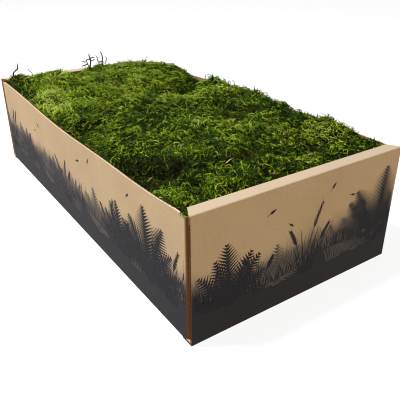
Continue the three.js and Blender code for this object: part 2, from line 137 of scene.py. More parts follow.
# The swells of the top layer: centre, spread and rise
SWELLS = [
    (80, 196, 54, 62, 11.3), (110, 158, 16, 28, 2), (123, -42, 16, 88, 9.5), (114, -212, 18, 17, 8),
    (-72, 150, 70, 90, 3.5), (-10, -60, 70, 70, 5), (-60, -252, 60, 24, 4), (-120, -205, 22, 26, -13),
    (-134, 180, 11, 24, -10), (-124, -22, 16, 20, -7), (-96, 284, 40, 16, 7), (-124, 277, 17, 15, 6.5),
    (-137, 284, 8, 10, 4), (-54, 281, 9, 10, 3), (-30, 277, 10, 12, -14), (20, 279, 13, 14, 9),
    (46, 282, 24, 14, 4), (129, -250, 9, 9, -8), (124, -233, 8, 8, 4), (126, -103, 16, 22, -5),
    (136, -266, 12, 13, 8), (-134, -190, 8, 60, 4), (30, -172, 50, 20, 4), (92, -214, 24, 16, 3),
    (120, -204, 9, 8, 9), (124, -160, 10, 12, 3), (120, 44, 8, 9, 4), (126, 14, 9, 12, -4),
]

# Hollows within the sheets: line in plan, depth and width
HOLLOWS = [
    ([(50, -20), (66, -48), (79, -80), (89, -102), (103, -122), (110, -150), (111, -184)], 14, 8),
    ([(-139, -150), (-112, -180), (-71, -209), (-25, -219), (20, -231), (66, -246)], 13, 11),
    ([(-52, 8), (-16, -4), (-2, -26), (34, -50)], 5, 10),
]

# The creases between the sheets: line in plan, depth and width
MEET_MIDDLE = (39, 64)
MEET_RIDGE = (62, 40)
MEET_FRONT = (112, -130)
LEFT_HIGH = (-INNER_X, -22)
LEFT_LOW = (-INNER_X, -140)
BACK = (20, INNER_Y)
RIGHT_HIGH = (INNER_X, 99)
RIGHT_LOW = (INNER_X, -141)
CREASES = {
    "left_to_middle": ([LEFT_HIGH, (-112, -12), (-80, -38), (-36, -20), (6, 26), MEET_MIDDLE], 9, 9),
    "back_to_middle": ([BACK, (4, 215), (15, 142), (25, 96), MEET_MIDDLE], 6, 9),
    "middle_step": ([MEET_MIDDLE, MEET_RIDGE], 7, 9),
    "dome_to_ridge": ([MEET_RIDGE, (98, 74), RIGHT_HIGH], 10, 15),
    "ridge_foot": ([MEET_RIDGE, (82, -4), (99, -38), (111, -66), (115, -98), MEET_FRONT], 4, 8),
    "front_hollow": (
        [LEFT_LOW, (-118, -174), (-80, -202), (-30, -212), (10, -208), (50, -174), (82, -144), MEET_FRONT],
        5,
        9,
    ),
    "ridge_end": ([MEET_FRONT, RIGHT_LOW], 6, 10),
}


def srgb(red, green, blue):
    """A screen colour of 0 to 255 as the linear colour that Blender takes"""
    shares = [level / 255 for level in (red, green, blue)]
    linear = [s / 12.92 if s <= 0.04045 else ((s + 0.055) / 1.055) ** 2.4 for s in shares]
    return (*linear, 1)


# Node trees


class Value:
    """An output of a node. Plain arithmetic on it adds Math nodes"""

    def __init__(self, net, socket):
        self.net = net
        self.socket = socket

    def __add__(self, other):
        return self.net.math("ADD", self, other)

    __radd__ = __add__

    def __sub__(self, other):
        return self.net.math("SUBTRACT", self, other)

    def __rsub__(self, other):
        return self.net.math("SUBTRACT", other, self)

    def __mul__(self, other):
        return self.net.math("MULTIPLY", self, other)

    __rmul__ = __mul__

    def __gt__(self, other):
        return self.net.math("GREATER_THAN", self, other)

    def __abs__(self):
        return self.net.math("ABSOLUTE", self)

    def held(self):
        """The value, held between 0 and 1"""
        return self.net.math("MINIMUM", self.net.math("MAXIMUM", self, 0.0), 1.0)

    def from_to(self, low, high):
        """0 at low and 1 at high, with a soft start and end"""
        span = {"Value": self, "From Min": low, "From Max": high}
        return self.net.add("ShaderNodeMapRange", {"interpolation_type": "SMOOTHSTEP"}, span)


class Net:
    """A node tree, with one method that adds any node to it, and short ones for the common nodes"""

    def __init__(self, tree):
        self.tree = tree

    @staticmethod
    def socket(sockets, key):
        """A socket by its number or its identifier, or else by its name"""
        if isinstance(key, int):
            return sockets[key]
        exact = [s for s in sockets if s.identifier == key]
        return exact[0] if exact else sockets[key]

    @staticmethod
    def set_stops(elements, stops):
        while len(elements) < len(stops):
            elements.new(1)
        for element, (position, colour) in zip(elements, stops):
            element.position = position
            element.color = colour

    def add(self, kind, settings=None, inputs=None, output=0):
        """Any node: its settings come first, then the values or links of its sockets"""
        node = self.tree.nodes.new(kind)
        for name, setting in (settings or {}).items():
            if name == "stops":
                self.set_stops(node.color_ramp.elements, setting)
            else:
                setattr(node, name, setting)
        for key, value in (inputs or {}).items():
            socket = self.socket(node.inputs, key)
            if isinstance(value, Value):
                self.tree.links.new(value.socket, socket)
            else:
                socket.default_value = value
        return None if output is None else Value(self, self.socket(node.outputs, output))

    def math(self, operation, *terms):
        return self.add("ShaderNodeMath", {"operation": operation}, dict(enumerate(terms)))

    def axis(self, place, name):
        return self.add("ShaderNodeSeparateXYZ", inputs={0: place}, output=name)

    def mark(self, name):
        """What the mesh holds under a name"""
        return self.add("ShaderNodeAttribute", {"attribute_name": name}, output="Fac")

    def ramp(self, share, stops):
        """A colour between the stops, by a share"""
        return self.add("ShaderNodeValToRGB", {"stops": stops}, {"Fac": share})

    def mix(self, share, first, second):
        """The first colour turned into the second by a share"""
        inputs = {"Factor_Float": share, "A_Color": first, "B_Color": second}
        return self.add("ShaderNodeMix", {"data_type": "RGBA"}, inputs, "Result_Color")

    def grain(self, place, scale, detail=2.0, roughness=0.5, stretch=(1, 1, 1)):
        """Noise at so many grains a metre, stretched along the axes"""
        if stretch != (1, 1, 1):
            place = self.add("ShaderNodeMapping", inputs={"Vector": place, "Scale": stretch})
        inputs = {"Vector": place, "Scale": scale, "Detail": detail, "Roughness": roughness}
        return self.add("ShaderNodeTexNoise", inputs=inputs)


def new_finish(name):
    """A material, its node tree and the place on the object"""
    material = bpy.data.materials.new(name)
    material.use_nodes = True
    material.node_tree.nodes.clear()
    net = Net(material.node_tree)
    return material, net, net.add("ShaderNodeTexCoord", output="Object")


def lay_on(net, colour, roughness, shine, relief=None, glow=0):
    """Ends a material's tree. Its relief is a strength, a depth in metres and a height"""
    inputs = {"Base Color": colour, "Roughness": roughness, "Specular IOR Level": shine}
    if relief:
        bump = dict(zip(("Strength", "Distance", "Height"), relief))
        inputs["Normal"] = net.add("ShaderNodeBump", inputs=bump)
    if glow:
        inputs |= {"Emission Color": (1, 1, 1, 1), "Emission Strength": glow}
    surface = net.add("ShaderNodeBsdfPrincipled", inputs=inputs)
    net.add("ShaderNodeOutputMaterial", inputs={"Surface": surface}, output=None)


# Finishes

KRAFT_PALE = srgb(186, 160, 122)
KRAFT_DEEP = srgb(164, 134, 96)
KRAFT_FLECK = srgb(112, 82, 54)
# Pale wear at random on the board, and the painted highlight along the rim
KRAFT_WEAR_AND_HIGHLIGHT = srgb(212, 194, 164)
# Painted sheen on the lands, the tops of the end walls
KRAFT_LAND_SHEEN = srgb(162, 146, 124)
# Raw ply ends: their own brown, darkened further by painted shade of the flutes
KRAFT_RAW_AND_SHADE = srgb(90, 56, 26)
# Painted shade in the folds, on the flap tops and on the inner faces
KRAFT_SHADE = srgb(102, 64, 26)
# Deepest painted shade, on the crushed inner edge of the rim
KRAFT_RIM_SHADE = srgb(46, 32, 12)
INK_DARK = srgb(32, 31, 33)
INK_HAZE = srgb(96, 86, 76)


def board_fibre(net, place):
    return net.grain(place, 520, 3, 0.6, (1, 0.28, 1))


def ink_dots(net, place):
    return net.grain(place, 1500, 1)


def flute_ridges(net, y, z):
    """The flutes that show faintly through the liner, as -1 to 1"""
    on_end = abs(y) > (HALF_LENGTH - 4.5) * MM
    return net.math("SINE", (y + z * on_end) * (2 * math.pi / (FLUTE_PITCH * MM)))


def board_colour(net, place, fibre):
    """Brown board with fibres, flecks and cloudy tone"""
    cloud = net.grain(place, 14, 3)
    fleck = net.grain(place, 900).from_to(0.66, 0.74)
    pale = net.grain(place, 640, stretch=(0.5, 1, 0.5)).from_to(0.64, 0.78)
    tone = (cloud * 0.7 + fibre * 0.6 - 0.15).held()
    colour = net.mix(tone, KRAFT_DEEP, KRAFT_PALE)
    colour = net.mix(fleck * 0.4, colour, KRAFT_FLECK)
    return net.mix(pale * 0.35, colour, KRAFT_WEAR_AND_HIGHLIGHT)


def make_board_finish():
    material, net, place = new_finish("kraft_board")
    x, y, z = (net.axis(place, name) for name in "XYZ")
    outside, raw, rim, shade = (net.mark(name) for name in ("printed", "raw", "rim", "shade"))
    fibre = board_fibre(net, place)
    colour = board_colour(net, place, fibre)

    # The printed ground: a thin painted shade that dims the long walls, then mist over a dark foot, only on
    # the outer faces
    flat = (1, 1, 0.3)
    hills = net.grain(place, 8, stretch=flat)
    smoke = net.grain(place, 40, 3, 0.6, flat)
    dots = ink_dots(net, place)
    mist = (hills * 0.07 + smoke * 0.03 + 0.032 - z + dots * 0.01).from_to(-0.006, 0.03)
    foot = (hills * 0.045 + smoke * 0.016 + 0.042 - z + dots * 0.006).from_to(-0.004, 0.022)
    long_side = abs(x) > (HALF_WIDTH - 1) * MM
    colour = net.mix(long_side * outside * 0.1, colour, INK_HAZE)
    colour = net.mix(mist * outside * 0.7, colour, INK_HAZE)
    colour = net.mix(foot * outside * 0.97, colour, INK_DARK)

    # Raw ply ends are brown, partly their own colour and partly painted shade of the flutes. The lands get a
    # painted sheen and the rim a painted highlight. Folds, the flap tops and the inner faces get painted
    # shade, and the crushed inner edge of the rim, with a shade above 1, gets the deepest painted shade
    colour = net.mix(raw * 0.9, colour, KRAFT_RAW_AND_SHADE)
    land = z > (END_HEIGHT - 0.5) * MM
    colour = net.mix(land * 0.6, colour, KRAFT_LAND_SHEEN)
    colour = net.mix(rim * 0.8, colour, KRAFT_WEAR_AND_HIGHLIGHT)
    colour = net.mix((shade * (fibre * 0.24 + 0.84)).held(), colour, KRAFT_SHADE)
    colour = net.mix((shade - 1).held(), colour, KRAFT_RIM_SHADE)

    relief = flute_ridges(net, y, z) * 0.12 + fibre * 1.1 + net.grain(place, 26) * 2.5
    roughness = 0.86 - foot * outside * 0.22 + fibre * 0.06
    lay_on(net, colour, roughness, 0.1, (0.32, 0.00035, relief))
    return material


def make_ink_finish():
    material, net, place = new_finish("printed_ink")
    fibre = board_fibre(net, place)
    dots = ink_dots(net, place)
    colour = net.mix((net.mark("ink") + (dots - 0.5) * 0.12).held(), INK_HAZE, INK_DARK)
    colour = net.mix(fibre.from_to(0.6, 0.85) * 0.25, colour, KRAFT_DEEP)
    lay_on(net, colour, fibre * 0.1 + 0.66, 0.1, (0.25, 0.0003, fibre))
    return material


# Shoots from the root to the tip, and the tints that come over them
MOSS_STOPS = [
    (0.05, srgb(20, 21, 2)),
    (0.3, srgb(30, 47, 0)),
    (0.55, srgb(82, 110, 4)),
    (0.8, srgb(136, 156, 8)),
    (1, srgb(162, 173, 80)),
]
MOSS_DRY = srgb(124, 100, 46)
MOSS_COOL = srgb(40, 78, 18)
MOSS_OLIVE = srgb(98, 94, 14)
# Mats and litter, from dark to pale
MAT_STOPS = [
    (0.25, srgb(14, 17, 6)),
    (0.55, srgb(32, 38, 10)),
    (0.8, srgb(62, 62, 24)),
    (1, srgb(96, 82, 42)),
]
LITTER_STOPS = [
    (0, srgb(58, 46, 22)),
    (0.35, srgb(98, 84, 40)),
    (0.7, srgb(150, 136, 78)),
    (1, srgb(204, 192, 140)),
]
FLOOR_GLOW = 0.9


def make_shoot_finish():
    """Living shoots: dark and brownish at the root, yellow-green to the tip, in patches, with painted light
    and shade from the sun mark and in pockets
    """
    material, net, place = new_finish("moss_shoots")
    along, tone, sun, clump = (net.mark(name) for name in ("along", "tone", "sun", "clump"))
    patch = net.grain(place, 22, 3, 0.6)
    leaves = net.grain(place, 620, 1)
    light = along * 0.66 + (tone - 0.5) * 0.55 + (patch - 0.5) * 0.8 + (leaves - 0.5) * 0.8 + sun * 0.5
    # Painted shade in random pockets, which darkens the shoots that cross them
    shade_pockets = net.grain(place, 84, roughness=0.6).from_to(0.58, 0.7)
    light = (light + (clump - 0.5) * 0.4 - shade_pockets * 0.5 + 0.17).held()
    colour = net.ramp(light, MOSS_STOPS)
    cool = net.grain(place, 27).from_to(0.52, 0.7)
    colour = net.mix(cool * 0.4, colour, MOSS_COOL)
    olive = net.grain(place, 31).from_to(0.56, 0.7)
    colour = net.mix(olive * (1 - along * 0.5) * 0.36, colour, MOSS_OLIVE)
    colour = net.mix((tone > 0.985) * 0.6, colour, MOSS_DRY)
    leafy = net.grain(place, 1400, roughness=0.6)
    lay_on(net, colour, leafy * 0.2 + 0.48, 0.06, (0.5, 0.0004, leafy))
    return material


def make_mat_finish():
    """The matted brown-green body of a sheet, below the shoots"""
    material, net, place = new_finish("moss_mat")
    threads = net.grain(place, 260, 4, 0.65, (1, 0.35, 1))
    clump = net.grain(place, 45, 3)
    colour = net.ramp((threads * 0.8 + clump * 0.4 - 0.1).held(), MAT_STOPS)
    lay_on(net, colour, 0.85, 0.03, (0.8, 0.002, threads + clump))
    return material


def make_litter_finish():
    """Dry straws, leaf scraps and needles, each with its own tone"""
    material, net, place = new_finish("dry_litter")
    streak = net.grain(place, 700)
    colour = net.ramp((net.mark("tone") + (streak - 0.5) * 0.3).held(), LITTER_STOPS)
    lay_on(net, colour, streak * 0.15 + 0.7, 0.1, (0.4, 0.0004, streak))
    return material


def make_floor_finish():
    material, net, place = new_finish("studio_floor")
    cloud = net.grain(place, 3)
    colour = net.mix(cloud, srgb(110, 110, 110), srgb(118, 118, 118))
    lay_on(net, colour, cloud * 0.1 + 0.7, 0.1, glow=FLOOR_GLOW)
    return material


# Meshes


def corner_places(made):
    """The object's corners as rows of x, y and z, in metres"""
    places = numpy.empty(len(made.data.vertices) * 3)
    made.data.vertices.foreach_get("co", places)
    return places.reshape(-1, 3)


def set_corner_places(made, places):
    made.data.vertices.foreach_set("co", places.ravel())
    made.data.update()


def bow(x, y, z):
    """How far the long wall on the side of x stands out. It is straight at its foot"""
    left = numpy.interp(y, *zip(*LEFT_BOW))
    right = numpy.interp(y, *zip(*RIGHT_BOW))
    height = numpy.clip(z / SIDE_HEIGHT, 0, 1)
    return numpy.where(x < 0, left, right) * height**BOW_RISE


def spread(made):
    """Spreads an object sideways with the walls: all of it at a wall, and less towards the middle"""
    places = corner_places(made)
    x, y, z = (places / MM).T
    places[:, 0] += numpy.clip(x / INNER_X, -1, 1) * bow(x, y, z) * MM
    set_corner_places(made, places)


def placed(name, data):
    """An object in the scene that holds the data"""
    made = bpy.data.objects.new(name, data)
    bpy.context.scene.collection.objects.link(made)
    return made


def new_object(name, corners, faces, material=None):
    """An object at the origin from corners in millimetres"""
    mesh = bpy.data.meshes.new(name)
    mesh.from_pydata([(x * MM, y * MM, z * MM) for x, y, z in corners], [], faces)
    if material:
        mesh.materials.append(material)
    return placed(name, mesh)


def mark_all(made, domain, marks):
    """Lays numbers on the corners or the faces of an object, under their names"""
    for name, values in marks.items():
        made.data.attributes.new(name, "FLOAT", domain).data.foreach_set("value", values)


def face_outwards(made, triangles=False):
    """Turns every face outwards, after a cut into triangles if that is asked"""
    shape = bmesh.new()
    shape.from_mesh(made.data)
    if triangles:
        bmesh.ops.triangulate(shape, faces=shape.faces, ngon_method="EAR_CLIP")
    bmesh.ops.recalc_face_normals(shape, faces=shape.faces)
    shape.to_mesh(made.data)
    shape.free()


def settled(made):
    """The object with its modifiers turned into a plain mesh"""
    graph = bpy.context.evaluated_depsgraph_get()
    mesh = bpy.data.meshes.new_from_object(made.evaluated_get(graph))
    made.modifiers.clear()
    old = made.data
    made.data = mesh
    bpy.data.meshes.remove(old)
    return made


def drawn(section, low, high, place, steps=1):
    """A flat section, drawn out from low to high. place turns (a, b, along) into x, y, z"""
    count = len(section)
    stations = [low + (high - low) * step / steps for step in range(steps + 1)]
    corners = [place(a, b, station) for station in stations for a, b in section]
    last = count * steps
    faces = [tuple(range(count)), tuple(range(last + count - 1, last - 1, -1))]
    for step in range(steps):
        for i in range(count):
            a, b = step * count + i, step * count + (i + 1) % count
            faces.append((a, a + count, b + count, b))
    made = new_object("solid", corners, faces)
    face_outwards(made, triangles=True)
    return made


def copies(section, low, high, places):
    """A section, drawn out once for each of the places"""
    return [drawn(section, low, high, place) for place in places]


def combine(base, others, operation):
    """Joins the base with the others, or cuts it by them"""
    group = bpy.data.collections.new("tools")
    for other in others:
        group.objects.link(other)
    modifier = base.modifiers.new("combine", "BOOLEAN")
    modifier.operation = operation
    modifier.operand_type = "COLLECTION"
    modifier.collection = group
    modifier.solver = "MANIFOLD"
    settled(base)
    for other in others:
        bpy.data.objects.remove(other)
    bpy.data.collections.remove(group)


# Tray


def arc(cx, cy, radius, start, end, steps=8):
    """Points round an arc, its angles in degrees"""
    turns = [start + (end - start) * i / steps for i in range(steps + 1)]
    return [(cx + radius * math.cos(t * DEGREE), cy + radius * math.sin(t * DEGREE)) for t in turns]


def along_y(a, b, t):
    return (a, t, b)


def along_x(a, b, t):
    return (t, a, b)


def along_z(a, b, t):
    return (a, b, t)


def flipped(place, east, north):
    """The same place with x and y multiplied by the given signs"""
    return lambda *where: tuple(sign * part for sign, part in zip((east, north, 1), place(*where)))


def both_ends(place):
    return [place, flipped(place, -1, -1)]


def four_corners(place):
    return [flipped(place, *signs) for signs in ((1, 1), (-1, 1), (-1, -1), (1, -1))]


def rectangle(a, b, c, d):
    """The corners of a rectangle from (a, b) to (c, d), anticlockwise"""
    return [(a, b), (c, b), (c, d), (a, d)]


def wall_section():
    """Floor and both long walls, across the tray"""
    r = CREASE_RADIUS
    levels = [SIDE_HEIGHT * (i + 1) / WALL_LEVELS for i in range(WALL_LEVELS)]
    crushed = [*levels[:-1], SIDE_HEIGHT - RIM_CRUSH]
    inside = HALF_WIDTH - BOARD
    right = [(HALF_WIDTH, level) for level in levels] + [(HALF_WIDTH - RIM_FLAT, SIDE_HEIGHT)]
    right += [(inside, level) for level in crushed[::-1]] + [(inside, BOARD)]
    left = [(-a, b) for a, b in right[::-1]]
    return arc(-HALF_WIDTH + r, r, r, 180, 270) + arc(HALF_WIDTH - r, r, r, 270, 360) + right + left


def end_section():
    """The rolled end wall: outer ply, land on top and inner ply"""
    r = CREASE_RADIUS
    outer = -HALF_LENGTH
    inner = outer + END_DEPTH
    section = [(inner, 0)]
    section += arc(outer + r, r, r, 270, 180)
    section += arc(outer + r, END_HEIGHT - r, r, 180, 90)
    section += arc(inner - r, END_HEIGHT - r, r, 90, 0)
    section += [(inner, BOARD + FOOT_GAP), (inner - BOARD, BOARD + FOOT_GAP)]
    section += [(inner - BOARD, END_HEIGHT - BOARD), (outer + BOARD, END_HEIGHT - BOARD)]
    section += [(outer + BOARD, BOARD), (inner, BOARD)]
    return section


def flap_section():
    """A corner flap in plan, from the long wall round the fold"""
    inside = -HALF_WIDTH + BOARD
    start = -FLAP_FACE + 3 * BOARD
    section = [(-HALF_WIDTH, start)]
    section += arc(-HALF_WIDTH + FOLD_RADIUS, -FLAP_FACE + FOLD_RADIUS, FOLD_RADIUS, 180, 270)
    section += [(inside + FLAP_LENGTH, -FLAP_FACE), (inside + FLAP_LENGTH, -FLAP_FACE + BOARD)]
    section += [(inside, -FLAP_FACE + BOARD), (inside, start)]
    return section


def land_trim_section():
    """Cuts the ends of the land back, so that it narrows towards the long wall"""
    inset = HALF_WIDTH - LAND_INSET
    front = -HALF_LENGTH + BOARD
    back = -HALF_LENGTH + END_DEPTH
    return [
        (HALF_WIDTH + PAST, front),
        (HALF_WIDTH + PAST, back + PAST),
        (inset, back + PAST),
        (inset, back - CREASE_RADIUS),
        (HALF_WIDTH, front),
    ]


def shoulder_section(sink, past):
    """The top of a long wall curves down near the corner, in a side view"""
    shares = [0, 0.35, 0.6, 0.85, 1 + past / SHOULDER_RUN]
    level = SIDE_HEIGHT - sink
    curve = [(SHOULDER_RUN * (1 - s) - FLAP_FACE, level - SHOULDER_DROP * s**1.5) for s in shares]
    high = SIDE_HEIGHT + 2 * PAST
    return [(curve[0][0], high), (curve[-1][0], high)] + curve[::-1]


def lobe(start, side, crushed):
    """One open channel of the flutes: between two crests, against one liner. It is (along, across)"""
    half = (BOARD / 2 - LINER) * crushed
    swing = half - MEDIUM / 2
    steps = 7
    edge = 0.07
    points = []
    for i in range(steps + 1):
        share = edge + (1 - 2 * edge) * i / steps
        across = swing * math.cos(2 * math.pi * share) * side + side * MEDIUM / 2
        points.append((start + FLUTE_PITCH * share, min(max(across, -half), half)))
    return points + [(points[-1][0], side * half), (points[0][0], side * half)]


def channel_row(first, count, middle, crushed, limit, reach, places):
    """Open channels side by side along a raw edge of the board, none past a limit"""
    channels = []
    for i in range(count):
        for side in (-1, 1):
            start = first + FLUTE_PITCH * (i + (0.5 if side < 0 else 0))
            section = [(middle + across, along) for along, across in lobe(start, side, crushed)]
            if max(abs(b) for _, b in section) <= limit:
                channels += copies(section, *reach, places)
    return channels


def flute_channels():
    """The open channels in the tops of the long walls and in the ends of the outer end plies"""
    count = int((2 * FLAP_FACE - 2 * TOP_CLEAR) / FLUTE_PITCH)
    first = -count * FLUTE_PITCH / 2
    middle = HALF_WIDTH - BOARD / 2
    limit = FLAP_FACE - SHOULDER_RUN
    reach = (SIDE_HEIGHT - TOP_FLUTE_REACH, SIDE_HEIGHT + FLUTE_PAST)
    tops = channel_row(first, count, middle, RIM_SQUASH, limit, reach, [along_z, flipped(along_z, -1, 1)])
    count = int((END_HEIGHT - 2 * SIDE_CLEAR) / FLUTE_PITCH)
    middle = -HALF_LENGTH + BOARD / 2
    limit = END_HEIGHT - SIDE_CLEAR
    reach = (HALF_WIDTH - SIDE_FLUTE_REACH, HALF_WIDTH + FLUTE_PAST)
    return tops + channel_row(SIDE_CLEAR, count, middle, 1, limit, reach, four_corners(along_x))


def tab_blocks(play):
    """The locking tabs, or with some play the slots for them"""
    outer = -HALF_LENGTH + END_DEPTH - BOARD
    low = -PAST if play else TAB_RECESS
    high = BOARD + FOOT_GAP / 2 if play else BOARD + 3 * FOOT_GAP
    half = TAB_WIDTH / 2 + play
    blocks = []
    for centre in (-TAB_OFFSET, TAB_OFFSET):
        section = rectangle(centre - half, outer - play, centre + half, outer + BOARD + play)
        blocks += copies(section, low, high, both_ends(along_z))
    return blocks


# What counts as a face that looks along an axis, how wide the folds and the rim are, and how much painted
# shade each gets
FACING = 0.6
LEVEL = 0.7
FOLD_BAND = 9
RIM_BAND = 6
INSIDE_SHADE = 0.65
CRUSHED_SHADE = 1.6


def mark_board(made):
    """What the board finish reads, face by face: print, raw ply ends, the rim's painted highlight and painted
    shade
    """
    marks = {"printed": [], "raw": [], "rim": [], "shade": []}
    ply = HALF_LENGTH - BOARD
    flap = FLAP_FACE - BOARD
    for face in made.data.polygons:
        x, y, z = (abs(part) / MM for part in face.center)
        across, along, up = (abs(part) for part in face.normal)
        on_side = x > HALF_WIDTH - CREASE_RADIUS and across > FACING
        on_end = y > HALF_LENGTH - CREASE_RADIUS and along > FACING
        in_ply = ply < y < HALF_LENGTH - SLACK and BOARD < z < END_HEIGHT - CREASE_RADIUS
        at_fold = x > HALF_WIDTH - FOLD_BAND and z < SIDE_HEIGHT
        in_fold = at_fold and FLAP_FACE - FOLD_RADIUS < y < ply + SLACK
        inside = x < HALF_WIDTH - BOARD + SLACK and y < HALF_LENGTH - END_DEPTH + SLACK and z > BOARD + 1
        top = up > LEVEL and z > SIDE_HEIGHT - RIM_BAND
        on_rim = top and z < SIDE_HEIGHT + SLACK and x > HALF_WIDTH - BOARD - SLACK and y < flap
        on_flap = top and z < SIDE_HEIGHT and flap < y < ply + SLACK
        crushed = on_rim and x < HALF_WIDTH - RIM_FLAT
        folded = max(0, min(1, (y - FLAP_FACE + FOLD_RADIUS - 0.7) / 1.8)) if in_fold else 0
        marks["printed"].append(on_side or on_end)
        marks["raw"].append(in_ply and x > HALF_WIDTH - SIDE_FLUTE_REACH - 1)
        marks["rim"].append(on_rim and not crushed and not in_fold)
        marks["shade"].append(max(folded, INSIDE_SHADE * inside, CRUSHED_SHADE * crushed, on_flap))
    mark_all(made, "FACE", marks)


def make_tray(finish):
    reach = FLAP_FACE - FOLD_RADIUS
    walls = drawn(wall_section(), -reach, reach, along_y, WALL_STATIONS)
    combine(walls, copies(flap_section(), BOARD + FOOT_GAP, FLAP_TOP, four_corners(along_z)), "UNION")
    for section, past in (
        (shoulder_section(0, 2), HALF_WIDTH + PAST),
        (shoulder_section(RIM_CRUSH, -0.5), HALF_WIDTH - RIM_FLAT),
    ):
        for shoulder in copies(section, -past, past, both_ends(along_x)):
            combine(walls, [shoulder], "DIFFERENCE")
    trim = copies(land_trim_section(), BOARD + FOOT_GAP / 2, END_HEIGHT + PAST, four_corners(along_z))
    end, far_end = copies(end_section(), -HALF_WIDTH, HALF_WIDTH, both_ends(along_x))
    combine(end, [far_end], "UNION")
    combine(end, trim, "DIFFERENCE")
    combine(walls, [end], "UNION")
    combine(walls, tab_blocks(TAB_PLAY), "DIFFERENCE")
    combine(walls, tab_blocks(0), "UNION")
    combine(walls, flute_channels(), "DIFFERENCE")
    mark_board(walls)
    spread(walls)
    walls.name = "folded_tray"
    walls.data.name = "folded_tray"
    walls.data.materials.clear()
    walls.data.materials.append(finish)
    return walls


# Printed meadow

INK_SUNK = 0.1
INK_MARGIN = 3
PRINT_LOW = 1.5
PRINT_HIGH = 137
PRINT_ROOTS = 30


class Print:
    """Printed strokes on one wall: u runs along the wall to the right, and v up it"""

    def __init__(self, skin, wall, reach, seed):
        self.skin = skin
        self.wall = wall
        self.reach = reach - INK_MARGIN
        self.draw = random.Random(seed)

    def level(self, ink):
        """How far a stroke stands proud: more for darker ink, and never the same twice"""
        return 0.04 + 0.06 * ink + self.draw.uniform(0, 0.05)

    def put(self, u, v, height, ink):
        u = max(-self.reach, min(self.reach, u))
        v = max(PRINT_LOW, min(PRINT_HIGH, v))
        return self.skin.put(self.wall(u, v, height), ink)

    def stroke(self, path, widths, ink):
        """A stroke of a changing width along a path"""
        proud = self.level(ink)
        rings = []
        for i, (u, v) in enumerate(path):
            before = path[max(i - 1, 0)]
            after = path[min(i + 1, len(path) - 1)]
            length = math.dist(before, after)
            du = -(after[1] - before[1]) / length * widths[i] / 2
            dv = (after[0] - before[0]) / length * widths[i] / 2
            sides = ((-1, proud), (1, proud), (1, -INK_SUNK), (-1, -INK_SUNK))
            rings.append([self.put(u + s * du, v + s * dv, h, ink) for s, h in sides])
        self.skin.strip(rings)

    def leaflet(self, u, v, heading, size, width, ink):
        """A pointed leaf, widest at its root"""
        proud = self.level(ink)
        du, dv = math.cos(heading), math.sin(heading)
        outline = [
            (u - dv * width / 2, v + du * width / 2),
            (u + dv * width / 2, v - du * width / 2),
            (u + du * size, v + dv * size),
        ]
        self.skin.strip([[self.put(a, b, height, ink) for a, b in outline] for height in (proud, -INK_SUNK)])

    def stalk(self, u, v, length, angle, bend, width, ink, steps):
        """A stalk that starts at an angle from upright and bends as it rises"""
        path = [(u, v)]
        for i in range(steps):
            turn = (angle + bend * (i + 0.5) / steps) * DEGREE
            u += length / steps * math.sin(turn)
            v += length / steps * math.cos(turn)
            path.append((u, v))
        widths = [max(0.25, width * (1 - (i / steps) ** 1.5)) for i in range(steps + 1)]
        self.stroke(path, widths, ink)
        return path

    @staticmethod
    def at(path, share):
        """The point at a share of a path, and the heading there"""
        place = share * (len(path) - 1)
        cell = min(int(place), len(path) - 2)
        (au, av), (bu, bv) = path[cell], path[cell + 1]
        part = place - cell
        return au + (bu - au) * part, av + (bv - av) * part, math.atan2(bv - av, bu - au)

    def seed_head(self, u, v, length, angle, ink):
        """A thin stem with grains up both sides of its nodding top"""
        path = self.stalk(u, v, length, angle, 24 if angle > 0 else -24, 1.4, ink, 6)
        first = 0.66
        for grain in range(14):
            share = first + (1 - first) * grain / 13
            cu, cv, heading = self.at(path, share)
            side = 0.5 if grain % 2 else -0.5
            self.leaflet(cu, cv, heading + side, 7.5 - 9 * (share - first), 2.2, ink)

    def frond(self, u, v, length, angle, ink):
        """A fern frond with leaflets that shorten to its tip"""
        path = self.stalk(u, v, length, angle, angle * 0.75, 1.9, ink, 7)
        pairs = max(8, round(length / 4.3))
        for pair in range(pairs):
            share = 0.16 + 0.82 * pair / (pairs - 1)
            cu, cv, heading = self.at(path, share)
            size = length * 0.27 * math.sin(math.pi * (0.13 + 0.85 * share)) + 1.5
            for side in (-1, 1):
                self.leaflet(cu, cv, heading + side * 1.0, size, 3.1, ink)

    def fern(self, u, height, fronds, ink):
        """Fronds that fan out from one root"""
        for number in range(fronds):
            part = 2 * number / (fronds - 1) - 1
            length = (height - PRINT_ROOTS) * (1 - 0.22 * abs(part)) * self.draw.uniform(0.9, 1.05)
            self.frond(u + part * 3, PRINT_ROOTS, length, part * 46 + self.draw.uniform(-5, 5), ink)

    def reeds(self, u, height, count, ink):
        """Grass and seed heads that stand together"""
        for number in range(count):
            part = 2 * (number + 0.5) / count - 1
            angle = part * 16 + self.draw.uniform(-5, 5)
            length = (height - PRINT_ROOTS) * (1 - 0.3 * abs(part)) * self.draw.uniform(0.8, 1.05)
            root = u + part * count * 1.5
            if number % 2:
                self.seed_head(root, PRINT_ROOTS, length, angle, ink)
            else:
                bend = angle * self.draw.uniform(0.8, 2)
                self.stalk(root, PRINT_ROOTS, length * 0.85, angle, bend, self.draw.uniform(2, 3), ink, 5)

    def fringe(self, gap, least, most, ink):
        """Short grass all along the foot of the picture"""
        u = -self.reach
        while u < self.reach:
            base = 42 + 6 * math.sin(u / 31)
            length = self.draw.uniform(least, most)
            angle = self.draw.uniform(-14, 14)
            self.stalk(u, base, length, angle, angle * 2, self.draw.uniform(1.7, 2.6), ink, 3)
            u += self.draw.uniform(0.6, 1.4) * gap

    def drifting(self, u, v, heading, size):
        """A single leaf on the air, with its stalk"""
        du, dv = math.cos(heading), math.sin(heading)
        path = [(u + du * size * share, v + dv * size * share) for share in (-0.5, 0, 0.25, 0.55, 1)]
        self.stroke(path, [0.5, 0.6, size * 0.36, size * 0.32, 0.3], 0.9)


